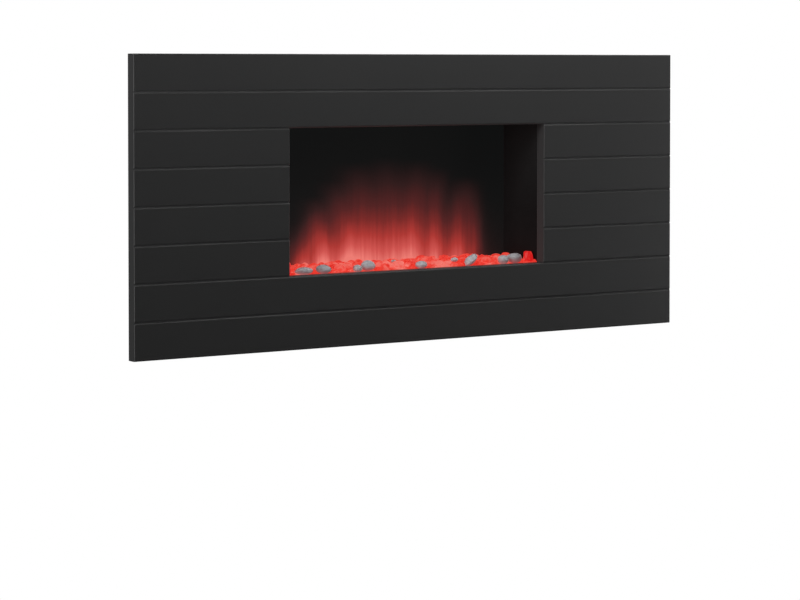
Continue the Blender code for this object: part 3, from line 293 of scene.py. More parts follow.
def board_paint():
    """Satin black paint, with painted light on the slopes of the grooves and a painted highlight
    on the board's edges.

    The back, against the case, is matt primer.
    """
    paint = Paint("board_paint", (0.030, 0.030, 0.030), 0.40, Specular_IOR_Level=0.12)
    speckle = paint.levels(paint.grain(2200.0, 2.0), 0.35, 0.65)
    cloud = paint.levels(paint.grain(9.0, 4.0), 0.3, 0.7)
    face = paint.mix(speckle, (0.0270, 0.0270, 0.0272), (0.0334, 0.0334, 0.0334))
    face = paint.mix(paint.sum("MULTIPLY", cloud, 0.35), face, (0.0338, 0.0336, 0.0334))

    # The grooves' slopes: neither on the face nor deeper than the grooves
    depth = paint.sum("SUBTRACT", paint.axis("Y"), FRONT_LOW.y)
    in_groove = paint.levels(depth, 0.0001, 0.0005)
    shallow = paint.levels(depth, GROOVE_DEPTH, GROOVE_DEPTH + 0.0004, 1.0, 0.0)
    in_groove = paint.sum("MULTIPLY", in_groove, shallow)
    slope = paint.sum("ABSOLUTE", paint.facing("Y"))
    in_groove = paint.sum("MULTIPLY", in_groove, paint.levels(slope, 0.3, 0.6))
    # Painted light: the slopes are painted paler than the face, and the downward slopes much
    # paler, standing in for light from below
    slope_mottle = paint.levels(paint.grain(5.0, 2.0, 0.5, (1.0, 1.0, 3.0)), 0.35, 0.65)
    lower_slope = paint.mix(slope_mottle, (0.028, 0.028, 0.0283), (0.046, 0.046, 0.0465))
    upward = paint.levels(paint.facing("Z"), -0.2, 0.2)
    groove_painted_light = paint.mix(upward, (0.092, 0.092, 0.0925), lower_slope)
    face = paint.mix(in_groove, face, groove_painted_light)

    # Deeper than the grooves: the board's edges and the window's reveal, painted paler than the
    # face as a painted highlight
    edge = paint.levels(depth, GROOVE_DEPTH + 0.0004, GROOVE_DEPTH + 0.0012)
    face = paint.mix(edge, face, (0.040, 0.040, 0.0403))

    behind = paint.sum("GREATER_THAN", paint.axis("Y"), FRONT_HIGH.y - 0.0002)
    fibre = paint.levels(paint.grain(420.0, 5.0, 0.7, (1.0, 1.0, 3.0)), 0.3, 0.7)
    primer = paint.mix(fibre, (0.040, 0.039, 0.038), (0.062, 0.060, 0.058))
    paint.colour(paint.mix(behind, face, primer))
    satin = paint.levels(paint.grain(60.0, 5.0), 0.3, 0.7, 0.36, 0.45)
    paint.roughness(paint.sum("MAXIMUM", satin, paint.sum("MULTIPLY", behind, 0.85)))
    paint.bump(paint.grain(650.0, 2.0), 0.00004)
    paint.bump(paint.grain(90.0, 2.0, 0.5, (0.35, 1.0, 1.0)), 0.00010)
    return paint.material


def black_steel():
    """Powder-coated sheet steel."""
    paint = Paint("black_steel", (0.030, 0.030, 0.031), 0.5, Specular_IOR_Level=0.5)
    fleck = paint.levels(paint.grain(1500.0, 2.0), 0.35, 0.65)
    paint.colour(paint.mix(fleck, (0.024, 0.024, 0.025), (0.042, 0.042, 0.044)))
    paint.roughness(paint.levels(paint.grain(40.0, 4.0), 0.3, 0.7, 0.44, 0.60))
    paint.bump(paint.cells(750.0), 0.00006)
    paint.bump(paint.grain(420.0, 3.0), 0.00004)
    return paint.material


def zinc_steel():
    """Zinc-plated sheet steel with a faint spangle and handling marks."""
    paint = Paint("zinc_steel", (0.46, 0.47, 0.48), 0.36, Metallic=0.92)
    spangle = paint.cells(85.0, "Color")
    shade = paint.levels(spangle, 0.0, 1.0)
    cloud = paint.levels(paint.grain(22.0, 5.0, 0.6), 0.3, 0.7)
    bright = paint.mix(shade, (0.52, 0.53, 0.545), (0.58, 0.59, 0.60))
    paint.colour(paint.mix(paint.sum("MULTIPLY", cloud, 0.5), bright, (0.46, 0.46, 0.46)))
    scuffs = paint.levels(paint.grain(160.0, 6.0, 0.7, (1.0, 1.0, 0.12)), 0.45, 0.8)
    base = paint.levels(shade, 0.0, 1.0, 0.37, 0.42)
    paint.roughness(paint.sum("MULTIPLY_ADD", scuffs, 0.16, base))
    paint.bump(paint.grain(900.0, 3.0), 0.000015)
    return paint.material


def motor_iron():
    """Stacked iron laminations with an oily dark skin."""
    paint = Paint("motor_iron", (0.12, 0.12, 0.125), 0.42, Metallic=0.85)
    sheets = paint.ridges("X", 620.0)
    stain = paint.levels(paint.grain(130.0, 5.0, 0.65), 0.35, 0.7)
    skin = paint.mix(sheets, (0.075, 0.073, 0.072), (0.165, 0.165, 0.170))
    paint.colour(paint.mix(paint.sum("MULTIPLY", stain, 0.4), skin, (0.09, 0.065, 0.05)))
    paint.roughness(paint.levels(stain, 0.0, 1.0, 0.36, 0.58))
    paint.bump(sheets, 0.00008)
    return paint.material


def motor_winding():
    """Enamelled copper wire, turn beside turn, under varnish."""
    paint = Paint("motor_winding", (0.52, 0.19, 0.07), 0.32, Metallic=0.75, Coat_Weight=0.6)
    turns = paint.ridges("Y", 900.0)
    # The dark lines between the turns are painted shade in the creases between the wires
    paint.colour(paint.mix(turns, (0.24, 0.075, 0.03), (0.62, 0.25, 0.10)))
    paint.roughness(paint.levels(paint.grain(300.0, 3.0), 0.3, 0.7, 0.26, 0.42))
    paint.bump(turns, 0.00014)
    return paint.material


# The firebox's paint is painted paler, as painted light, from the first of these heights up to
# the second
PAINTED_LIGHT_LOW_Z = FRONT_MIDDLE.z - 0.050
PAINTED_LIGHT_HIGH_Z = FRONT_MIDDLE.z + 0.105


def liner_paint():
    """Heat-resisting matt black on the firebox's sheets, painted paler towards the roof and the
    screen: painted light that lifts the shade cast by the window's edges.
    """
    paint = Paint("liner_paint", (0.0040, 0.0040, 0.0041), 0.8, Specular_IOR_Level=0.06)
    dust = paint.levels(paint.grain(34.0, 5.0, 0.65), 0.4, 0.8)
    sheet = paint.mix(dust, (0.0060, 0.0060, 0.0061), (0.0086, 0.0086, 0.0087))
    upper = paint.levels(paint.axis("Z"), PAINTED_LIGHT_LOW_Z, PAINTED_LIGHT_HIGH_Z)
    inner = paint.levels(paint.axis("Y"), FRONT_HIGH.y, SCREEN_Y)
    # Painted light: paler towards the roof and the screen, where the cheeks lie in shade
    painted_light_share = paint.sum("MULTIPLY_ADD", inner, 0.30, paint.sum("POWER", upper, 1.5))
    paint.colour(paint.mix(painted_light_share, sheet, (0.0185, 0.0185, 0.0187)))
    paint.roughness(paint.levels(paint.grain(700.0, 2.0), 0.3, 0.7, 0.72, 0.88))
    paint.bump(paint.grain(1300.0, 3.0), 0.00004)
    return paint.material


def ember_resin():
    """Translucent resin coals lit from below: deep red, pale where the light floods."""
    paint = Paint("ember_resin", (0.12, 0.012, 0.009), 0.34, Specular_IOR_Level=0.25)
    flecks = paint.grain(210.0, 4.0, 0.6)
    pale = paint.sum("MULTIPLY_ADD", paint.levels(flecks, 0.35, 0.70), 0.55, -0.30)
    blotches = paint.levels(paint.grain(75.0, 2.0), 0.40, 0.60)
    pale = paint.sum("ADD", pale, paint.sum("MULTIPLY_ADD", blotches, 0.44, -0.20))
    pale = paint.sum("ADD", pale, paint.attribute("pale"))
    clouds = paint.levels(pale, 0.15, 0.85)
    glow = paint.mix(clouds, EMBER_RED, EMBER_PINK)
    veins = paint.levels(paint.cells(150.0, "Distance", "DISTANCE_TO_EDGE"), 0.0, 0.10)
    dark = paint.mix(veins, EMBER_DEEP, glow)
    glow = paint.mix(paint.levels(pale, 0.0, 0.35), dark, glow)
    paint.glow(paint.mix(paint.levels(pale, -0.6, -0.2), EMBER_DEEP, glow))
    paint.roughness(paint.levels(flecks, 0.3, 0.7, 0.28, 0.46))
    paint.bump(paint.grain(240.0, 4.0, 0.6), 0.0004)
    return paint.material


def pebble_stone():
    """Smooth grey river pebbles with darker veins, and a faint painted glow that stands in for
    the bed's light.

    The painted glow is stronger at the left end, to lift the shade that the window's edge casts
    there.
    """
    paint = Paint("pebble_stone", (0.20, 0.21, 0.22), 0.62, Specular_IOR_Level=0.4)
    body = paint.levels(paint.grain(75.0, 5.0, 0.6), 0.3, 0.7)
    grains = paint.levels(paint.grain(1400.0, 2.0), 0.42, 0.62)
    stone = paint.mix(body, (0.285, 0.290, 0.303), (0.400, 0.402, 0.418))
    stone = paint.mix(paint.sum("MULTIPLY", grains, 0.35), stone, (0.53, 0.53, 0.54))
    vein = paint.levels(paint.grain(48.0, 6.0, 0.7, (0.5, 1.0, 2.2)), 0.495, 0.515)
    paint.colour(paint.mix(paint.sum("MULTIPLY", vein, 0.22), stone, (0.20, 0.20, 0.21)))
    # Painted glow on the stones, strongest towards the shaded left end
    inward = paint.levels(paint.axis("X"), BED_LOW.x, BED_LOW.x + 0.07)
    paint.glow(paint.mix(inward, (0.130, 0.116, 0.124), (0.052, 0.044, 0.048)))
    paint.roughness(paint.levels(grains, 0.0, 1.0, 0.52, 0.72))
    paint.bump(paint.grain(520.0, 4.0, 0.6), 0.00018)
    return paint.material


def flame_light(paint):
    """How bright the flames are at each point of the screen: a sum of leaning tongues."""
    wobble = paint.grain(30.0, 2.0, 0.5, (1.0, 0.0, 0.45))
    shimmer = paint.grain(150.0, 2.0, 0.5, (1.0, 0.0, 0.07))
    shift = paint.sum("MULTIPLY_ADD", wobble, 0.016, -0.008)
    across = paint.sum("ADD", paint.axis("X"), shift)
    above = paint.sum("SUBTRACT", paint.axis("Z"), FLAME_FOOT_Z)

    def tongue(x, reach, half_width, brightness, lean, power, fade):
        """One tongue: its power squares off its sides, its fade thins out its tip."""
        rise = paint.levels(above, 0.0, reach)
        drift = paint.sum("MULTIPLY_ADD", paint.sum("POWER", rise, 2.0), lean, x)
        away = paint.sum("DIVIDE", paint.sum("SUBTRACT", across, drift), half_width)
        outside = paint.sum("POWER", paint.sum("ABSOLUTE", away), power)
        width = paint.sum("EXPONENT", paint.sum("MULTIPLY", outside, -1.0))
        height = paint.sum("POWER", paint.sum("SUBTRACT", 1.0, rise), fade)
        return paint.sum("MULTIPLY", paint.sum("MULTIPLY", width, height), brightness)

    x, reach, half_width, brightness = FLAME_HAZE
    total = tongue(x, reach, half_width, brightness, 0.0, 4.0, 2.0)
    for numbers in FLAME_TONGUES:
        total = paint.sum("ADD", total, tongue(*numbers, 2.0, 1.4))
    streaks = paint.levels(shimmer, 0.30, 0.70, 0.93, 1.07)
    return paint.sum("MULTIPLY", total, streaks)


def screen_acrylic():
    """Smoked diffusing acrylic with the flames thrown on it from behind."""
    paint = Paint("screen_acrylic", (0.0090, 0.0090, 0.0090), 0.50, Specular_IOR_Level=0.04)
    paint.glow(paint.ramp(flame_light(paint), FLAME_COLOURS))
    paint.roughness(paint.levels(paint.grain(900.0, 2.0), 0.3, 0.7, 0.44, 0.58))
    paint.bump(paint.grain(1100.0, 2.0), 0.00002)
    return paint.material


def flame_foil():
    """Crinkled bright foil."""
    paint = Paint("flame_foil", (0.78, 0.79, 0.80), 0.16, Metallic=1.0)
    creases = paint.cells(70.0, "Distance", "DISTANCE_TO_EDGE")
    # The darker lines along the creases are painted shade
    flat = paint.levels(creases, 0.0, 0.12)
    paint.colour(paint.mix(flat, (0.60, 0.61, 0.62), (0.80, 0.81, 0.82)))
    paint.roughness(paint.levels(paint.grain(240.0, 3.0), 0.3, 0.7, 0.10, 0.26))
    paint.bump(creases, 0.0005)
    return paint.material


def black_rubber():
    """Dull moulded rubber with a dusty bloom."""
    paint = Paint("black_rubber", (0.018, 0.018, 0.018), 0.85, Specular_IOR_Level=0.3)
    bloom = paint.levels(paint.grain(260.0, 5.0, 0.7), 0.4, 0.75)
    paint.colour(paint.mix(bloom, (0.014, 0.014, 0.014), (0.040, 0.039, 0.038)))
    paint.roughness(paint.levels(bloom, 0.0, 1.0, 0.78, 0.92))
    paint.bump(paint.grain(2100.0, 2.0), 0.00005)
    return paint.material


def white_nylon():
    """Natural nylon, a little yellow and cloudy."""
    paint = Paint(
        "white_nylon", (0.70, 0.69, 0.64), 0.45, Subsurface_Weight=0.12, Subsurface_Scale=0.002
    )
    cloud = paint.levels(paint.grain(180.0, 4.0), 0.3, 0.7)
    paint.colour(paint.mix(cloud, (0.64, 0.62, 0.56), (0.75, 0.74, 0.70)))
    paint.roughness(paint.levels(cloud, 0.0, 1.0, 0.38, 0.52))
    paint.bump(paint.grain(1500.0, 2.0), 0.00002)
    return paint.material


def circuit_board():
    """Green solder mask over copper tracks, with bright pads."""
    paint = Paint("circuit_board", (0.015, 0.11, 0.045), 0.32, Coat_Weight=0.25)
    tracks = paint.levels(paint.cells(230.0, "Distance", "DISTANCE_TO_EDGE"), 0.05, 0.09)
    mask = paint.mix(tracks, (0.035, 0.20, 0.075), (0.010, 0.085, 0.035))
    pads = paint.levels(paint.cells(210.0), 0.09, 0.12, 1.0, 0.0)
    paint.colour(paint.mix(pads, mask, (0.62, 0.62, 0.58)))
    paint.roughness(paint.levels(paint.grain(320.0, 3.0), 0.3, 0.7, 0.26, 0.40))
    paint.bump(tracks, 0.00004)
    return paint.material


def fan_aluminium():
    """Pressed aluminium with fine lines from the rolling mill."""
    paint = Paint("fan_aluminium", (0.62, 0.63, 0.64), 0.34, Metallic=0.95)
    lines = paint.grain(900.0, 3.0, 0.6, (0.04, 1.0, 1.0))
    paint.colour(paint.mix(lines, (0.54, 0.55, 0.56), (0.68, 0.69, 0.70)))
    paint.roughness(paint.levels(lines, 0.3, 0.7, 0.27, 0.42))
    paint.bump(lines, 0.00002)
    return paint.material


def heater_ceramic():
    """Fired ceramic, chalky, browned by heat in places."""
    paint = Paint("heater_ceramic", (0.46, 0.41, 0.34), 0.75)
    scorch = paint.levels(paint.grain(60.0, 5.0, 0.65), 0.45, 0.75)
    paint.colour(paint.mix(scorch, (0.50, 0.45, 0.38), (0.24, 0.17, 0.12)))
    paint.roughness(paint.levels(paint.grain(600.0, 2.0), 0.3, 0.7, 0.66, 0.84))
    paint.bump(paint.grain(1200.0, 4.0, 0.65), 0.00010)
    return paint.material


def black_plastic():
    """Moulded plastic with a fine spark-eroded grain."""
    paint = Paint("black_plastic", (0.015, 0.015, 0.016), 0.42, Specular_IOR_Level=0.45)
    grain = paint.cells(2600.0)
    paint.colour(paint.mix(grain, (0.012, 0.012, 0.013), (0.024, 0.024, 0.025)))
    paint.roughness(paint.levels(paint.grain(120.0, 3.0), 0.3, 0.7, 0.36, 0.50))
    paint.bump(grain, 0.00003)
    return paint.material


PAINTS = {
    make.__name__: make()
    for make in (
        board_paint, black_steel, zinc_steel, motor_iron, motor_winding, liner_paint,
        ember_resin, pebble_stone, screen_acrylic, flame_foil, black_rubber, white_nylon,
        circuit_board, fan_aluminium, heater_ceramic, black_plastic,
    )
}


# --- Piece helpers ------------------------------------------------------------------


def wear(piece, slot):
    """Gives a piece its material and its slot."""
    piece.data.materials.clear()
    piece.data.materials.append(PAINTS[slot])


def add_piece(name, bm, slot, body, sharp_angle=35.0):
    """Makes a bmesh in frame metres into a piece that rides on a body."""
    bmesh.ops.recalc_face_normals(bm, faces=bm.faces)
    mesh = bpy.data.meshes.new(name)
    bm.to_mesh(mesh)
    bm.free()
    mesh.shade_smooth()
    mesh.set_sharp_from_angle(angle=math.radians(sharp_angle))
    piece = bpy.data.objects.new(name, mesh)
    bpy.context.scene.collection.objects.link(piece)
    wear(piece, slot)
    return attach(piece, body)


def eased_copy(node, width):
    """A copy of a CAD piece with its edges rounded, which is shown in its place."""
    source = frame["nodes"][node]
    bm = bmesh.new()
    bm.from_mesh(source.data)

    # The CAD's triangles become whole faces, so that only real edges are rounded
    bmesh.ops.remove_doubles(bm, verts=bm.verts, dist=0.00001)
    bmesh.ops.dissolve_limit(
        bm, angle_limit=math.radians(0.5), verts=bm.verts, edges=bm.edges
    )

    mesh = bpy.data.meshes.new(f"{node}_eased")
    bm.to_mesh(mesh)
    bm.free()
    mesh.shade_smooth()
    piece = bpy.data.objects.new(f"{node}_eased", mesh)
    bpy.context.scene.collection.objects.link(piece)
    bevel = piece.modifiers.new("eased_edges", "BEVEL")
    bevel.width = width
    bevel.segments = 2
    bevel.limit_method = "ANGLE"
    bevel.angle_limit = math.radians(30.0)
    flatten = piece.modifiers.new("flat_faces", "WEIGHTED_NORMAL")
    flatten.mode = "FACE_AREA"
    flatten.weight = 100
    wear(piece, SLOT_OF[node])
    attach(piece, source["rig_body"])
    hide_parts(node)


# Width of the rounded edge on each hard part whose edges can be seen
EASED_EDGES = {
    "front_board": 0.0005,
    "front_frame": 0.0003,
    "case_base": 0.0003,
    "case_top": 0.0004,
    "case_left": 0.0004,
    "case_right": 0.0004,
    "rear_cover": 0.0003,
    "wall_rail": 0.0005,
    "wall_hanger_left": 0.0004,
    "wall_hanger_right": 0.0004,
    "board_hook_left": 0.0003,
    "board_hook_right": 0.0003,
    "wall_buffer_left": 0.0012,
    "wall_buffer_right": 0.0012,
    "screen_clip_left": 0.0003,
    "screen_clip_right": 0.0003,
    "spindle_motor": 0.0005,
    "spindle_bush": 0.0008,
    "spindle_coupling": 0.0006,
    "blower_end_left": 0.0003,
    "blower_end_right": 0.0003,
    "blower_bearing": 0.0007,
    "motor_core": 0.0004,
    "motor_coil": 0.0025,
    "motor_bridge": 0.0004,
    "heater_element": 0.0005,
    "thermal_cutout": 0.0003,
    "control_board": 0.0003,
    "terminal_block": 0.0007,
    "cord_inlet": 0.0006,
    "power_switch_housing": 0.0005,
    "flame_switch_housing": 0.0005,
    "heat_switch_housing": 0.0005,
    "power_rocker": 0.0006,
    "flame_rocker": 0.0006,
    "heat_rocker": 0.0006,
}


# --- Fuel bed -----------------------------------------------------------------------

# Gap between the bed's surface and a pebble lying on it
PEBBLE_GAP = 0.0002

# In front of a pebble the bed stays low. That strip reaches this far past the pebble's
# left end, because the fire is seen from the left.
STRIP_TO_LEFT = 0.011

# Seed of Blender's vector noise, which would otherwise start from the clock
BED_SEED = 1

# Squares in the bed's surface along X and along Y
BED_COLUMNS = 400
BED_ROWS = 76

# The bed's thickness between its cobbles, and the least it has under a pebble
BED_BASE = 0.0050
BED_LEAST = 0.0010

# Widths of the large and small cobbles, and how far they rise
LARGE_COBBLE = 0.017
SMALL_COBBLE = 0.007
LARGE_RISE = 0.0058
SMALL_RISE = 0.0016

# Noise that bends the cobbles' borders, and noise that roughens their tops: features per
# metre and reach
BEND_SCALE = 60.0
BEND_REACH = 0.004
ROUGH_SCALE = 90.0
ROUGH_RISE = 0.0016

# The bed glows paler by this much for each metre that it is above this height, so its low hollows
# glow darker as painted shade
PALE_PER_METRE = 9.0
PALE_FROM_Z = BED_LOW.z + 0.010


def soft_cells(point, size, seed):
    """Rounded cobbles: 1 at the middle of a cell and 0 at its border."""
    where = point / size + Vector((seed, 0.0, 0.0))
    distances = noise.voronoi(where)[0]
    return min(1.0, 1.25 * (distances[1] - distances[0]))


def in_front(x, y, low, high, margin=0.0):
    """Whether a point lies between a pebble and the window, where it could hide it."""
    beside = low.x - STRIP_TO_LEFT - margin < x < high.x + margin
    return beside and y < (low.y + high.y) / 2


def under_pebbles(x, y):
    """The highest that the bed may reach at a point, given the pebbles lying on it."""
    limit = math.inf
    for low, high in PEBBLE_BOXES:
        middle = (low + high) / 2
        half = (high - low) / 2
        away = math.hypot((x - middle.x) / half.x, (y - middle.y) / half.y)
        if in_front(x, y, low, high):
            limit = min(limit, low.z - PEBBLE_GAP)
        elif away < 1.0:
            underside = middle.z - half.z * math.sqrt(1.0 - away * away)
            limit = min(limit, underside - PEBBLE_GAP)
    return limit


def paleness(x, y):
    """How far the glow is washed out at a place on the fuel: mostly near the window."""
    total = PALE_BASE + PALE_SWING * noise.noise(Vector((x * PALE_SCALE, y * PALE_SCALE, 3.0)))
    nearness = math.exp(-(((y - BED_LOW.y) / PALE_DEPTH) ** 2))
    for middle, half_width, amount in PALE_PATCHES:
        total += amount * nearness * math.exp(-(((x - middle) / half_width) ** 2))
    return total


def store_paleness(piece, values):
    """Keeps the paleness of each point on the mesh."""
    layer = piece.data.attributes.new("pale", "FLOAT", "POINT")
    layer.data.foreach_set("value", values)


def bed_height(x, y):
    """How high the bed's surface is at a point: cobbles, with a cup under each pebble."""
    point = Vector((x, y, 0.0))
    bend = noise.noise_vector(point * BEND_SCALE) * BEND_REACH
    large = soft_cells(point + bend, LARGE_COBBLE, 1.0)
    small = soft_cells(point + bend, SMALL_COBBLE, 9.0)
    lift = BED_BASE + LARGE_RISE * math.sqrt(large) + SMALL_RISE * small
    lift += ROUGH_RISE * noise.noise(point * ROUGH_SCALE)
    z = min(BED_LOW.z + lift, under_pebbles(x, y))
    return max(z, BED_LOW.z + BED_LEAST)


def make_fuel_bed():
    """The moulded bed: one closed solid whose top is a fine grid."""
    noise.seed_set(BED_SEED)
    bm = bmesh.new()
    top = []
    for row in range(BED_ROWS + 1):
        line = []
        for column in range(BED_COLUMNS + 1):
            x = BED_LOW.x + (BED_HIGH.x - BED_LOW.x) * column / BED_COLUMNS
            y = BED_LOW.y + (BED_HIGH.y - BED_LOW.y) * row / BED_ROWS
            line.append(bm.verts.new((x, y, bed_height(x, y))))
        top.append(line)
    for near, far in zip(top, top[1:]):
        for column in range(BED_COLUMNS):
            bm.faces.new((near[column], near[column + 1], far[column + 1], far[column]))
    rim = top[0] + [line[-1] for line in top[1:]]
    rim += list(reversed(top[-1]))[1:] + [line[0] for line in reversed(top[1:-1])]
    foot = [bm.verts.new((vertex.co.x, vertex.co.y, BED_LOW.z)) for vertex in rim]
    for index, vertex in enumerate(rim):
        after = (index + 1) % len(rim)
        bm.faces.new((rim[after], vertex, foot[index], foot[after]))
    bm.faces.new(foot)
    points = [vertex.co for vertex in bm.verts]
    # Paleness of each point, with the lower points darker as painted shade in the hollows
    values = [
        paleness(point.x, point.y) + PALE_PER_METRE * (point.z - PALE_FROM_Z)
        for point in points
    ]
    bed = add_piece("fuel_bed", bm, "ember_resin", "fire", 60.0)
    store_paleness(bed, values)
    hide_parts("ember_bed")


# --- Coals and pebbles --------------------------------------------------------------

# Which way the planes that cut a coal face, before chance turns them: any way at all, or
# nearly square for a block
BALL_CUTS = [Vector((0.0, 0.0, 0.0))] * 9
BLOCK_CUTS = [
    Vector(side) * 5.0
    for side in ((1, 0, 0), (-1, 0, 0), (0, 1, 0), (0, -1, 0), (0, 0, 1), (0, 0, -1))
]

# The two deep red blocks at the ends of the bed: middle and half sizes, turn about Z, and
# a paleness below that of all other fuel
COAL_BLOCKS = (
    ((BED_HIGH.x - 0.0105, BED_LOW.y + 0.0100, BED_LOW.z + 0.0130), (0.0096, 0.0090, 0.0130)),
    ((BED_LOW.x + 0.0165, BED_LOW.y + 0.0080, BED_LOW.z + 0.0150), (0.0042, 0.0060, 0.0130)),
)
BLOCK_TURN = math.radians(12.0)
BLOCK_PALENESS = -0.7

# The other coals: half widths, places tried, and the height of the bed that they lie on
COAL_SEED = 31
COAL_SIZES = (0.0058, 0.0120)
COAL_TRIES = 5200
COAL_REST_Z = BED_LOW.z + 0.0095

# Shares of a coal's size that it keeps clear of another coal, of a pebble, and of the
# view of a pebble from the window
COAL_SPACING = 0.82
PEBBLE_SPACING = 0.8
VIEW_SPACING = 0.6

# Two small pebbles that are not in the CAD: x, y and half length, and the height of the
# bed that they lie on
SMALL_PEBBLES = ((-0.002, -0.090, 0.0044), (0.0892, -0.128, 0.0064))
SMALL_PEBBLE_REST_Z = BED_LOW.z + 0.0110
PEBBLE_SEED = 12

# A pebble that lies tilted: how far its ball is sheared along X before it fills its box
PEBBLE_LEANS = {"pebble_6": 0.7}


def add_lump(bm, centre, half, chance, cuts=BALL_CUTS):
    """Adds one broken coal: a ball cut back by a few planes, with a rough skin."""
    made = bmesh.ops.create_icosphere(bm, subdivisions=3, radius=1.0)["verts"]
    planes = []
    for lean in cuts:
        chip = Vector((chance.gauss(0, 1), chance.gauss(0, 1), chance.gauss(0, 1)))
        planes.append(((lean + chip).normalized(), chance.uniform(0.62, 0.88)))
    turn = Matrix.Rotation(chance.uniform(0.0, math.pi), 3, "Z")
    if cuts is BLOCK_CUTS:
        turn = Matrix.Rotation(BLOCK_TURN, 3, "Z")
    seed = Vector((chance.uniform(0, 50), 0.0, 0.0))
    for vertex in made:
        point = vertex.co.copy()
        for direction, depth in planes:
            over = point.dot(direction) - depth
            if over > 0.0:
                point -= direction * over
        point *= 1.0 + 0.07 * noise.noise(point * 2.2 + seed)
        point = turn @ Vector((point.x * half[0], point.y * half[1], point.z * half[2]))
        vertex.co = centre + point
    return made


def hits_pebble(x, y, size):
    """Whether a coal would touch a pebble, or hide one from the window."""
    for low, high in PEBBLE_BOXES:
        middle = (low + high) / 2
        half = (high - low) / 2 + Vector((size, size, 0.0)) * PEBBLE_SPACING
        if math.hypot((x - middle.x) / half.x, (y - middle.y) / half.y) < 1.0:
            return True
        if in_front(x, y, low, high, VIEW_SPACING * size):
            return True
    return any(
        math.hypot(x - px, y - py) < radius + PEBBLE_SPACING * size
        for px, py, radius in SMALL_PEBBLES
    )


def coal_places(chance):
    """Where the loose coals lie: x, y, size, clear of the pebbles and of each other."""
    places = []
    for _ in range(COAL_TRIES):
        size = chance.uniform(*COAL_SIZES)
        x = chance.uniform(BED_LOW.x + size, BED_HIGH.x - size)
        y = chance.uniform(BED_LOW.y + size, BED_HIGH.y - size)
        apart = all(
            math.hypot(x - px, y - py) > COAL_SPACING * (size + other)
            for px, py, other in places
        )
        if apart and not hits_pebble(x, y, size):
            places.append((x, y, size))
    return places


def make_coals():
    """Loose glowing coals on the bed, with a deep red block at each end."""
    chance = random.Random(COAL_SEED)
    bm = bmesh.new()
    values = []
    for x, y, size in coal_places(chance):
        half = (size, size * chance.uniform(0.8, 1.05), size * chance.uniform(0.55, 0.75))
        centre = Vector((x, y, COAL_REST_Z + half[2] * 0.30))
        made = add_lump(bm, centre, half, chance)
        pale = paleness(x, y) + chance.uniform(-0.22, 0.30)
        values += [pale] * len(made)
    for middle, half in COAL_BLOCKS:
        made = add_lump(bm, Vector(middle), half, chance, BLOCK_CUTS)
        values += [BLOCK_PALENESS] * len(made)
    coals = add_piece("loose_coals", bm, "ember_resin", "fire", 40.0)
    store_paleness(coals, values)


def add_pebble(bm, middle, half, seed, lean=0.0):
    """Adds one worn pebble that just fills a box."""
    made = bmesh.ops.create_icosphere(bm, subdivisions=5, radius=1.0)["verts"]
    for vertex in made:
        swell = 1.0 + 0.16 * noise.noise(vertex.co * 0.9 + seed)
        swell += 0.035 * noise.noise(vertex.co * 3.1 + seed)
        vertex.co *= swell
        vertex.co.x = 0.8 * vertex.co.x + lean * vertex.co.z
    reach = [max(abs(vertex.co[axis]) for vertex in made) for axis in range(3)]
    for vertex in made:
        vertex.co = middle + Vector(
            [vertex.co[axis] / reach[axis] * half[axis] for axis in range(3)]
        )


def make_pebbles():
    """River pebbles: each CAD one fitted to its own solid, and two small ones."""
    chance = random.Random(PEBBLE_SEED)
    for name, (low, high) in zip(PEBBLE_NAMES, PEBBLE_BOXES):
        seed = Vector((chance.uniform(0, 90), 0.0, 0.0))
        bm = bmesh.new()
        add_pebble(bm, (low + high) / 2, (high - low) / 2, seed, PEBBLE_LEANS.get(name, 0.0))
        stone = add_piece(f"{name}_stone", bm, "pebble_stone", "fire", 80.0)
        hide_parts(name)
    bm = bmesh.new()
    for x, y, radius in SMALL_PEBBLES:
        half = Vector((radius, 0.85 * radius, 0.62 * radius))
        middle = Vector((x, y, SMALL_PEBBLE_REST_Z + half.z))
        add_pebble(bm, middle, half, Vector((chance.uniform(0, 90), 0.0, 0.0)))
    add_piece("small_pebbles", bm, "pebble_stone", "fire", 80.0)


# --- Fasteners ----------------------------------------------------------------------

# How far a screw sits from the edge of its sheet, and from the end of its row
SCREW_INSET = 0.0075
SIDE_ROW_INSET = 0.030
LONG_ROW_INSET = 0.060

# How far the motor's two screws sit inside its foot, along X and Z
FOOT_INSET_X = 0.008
FOOT_INSET_Z = 0.006

# The hangers' plates: thickness, how far a rivet sits inside a plate, and its heights
HANGER_PLATE = 0.0015
RIVET_INSET = 0.008
RIVET_HEIGHTS = (0.007, 0.021)

# Seed of the screws' turns, and radii of the heads
SCREW_SEED = 5
COVER_SCREW = 0.0034
CASE_SCREW = 0.0030
RIVET = 0.0028


def frame_towards(out):
    """A rotation that turns +Z to face outwards."""
    return Vector((0.0, 0.0, 1.0)).rotation_difference(Vector(out)).to_matrix()


def cross_radius(angle, reach):
    """How far a plus-shaped recess goes at an angle; an arm's end spans 30 degrees."""
    half = reach * math.tan(math.radians(15.0))
    across = max(abs(math.cos(angle)), 1e-9)
    along = max(abs(math.sin(angle)), 1e-9)
    return max(min(reach / across, half / along), min(half / across, reach / along))


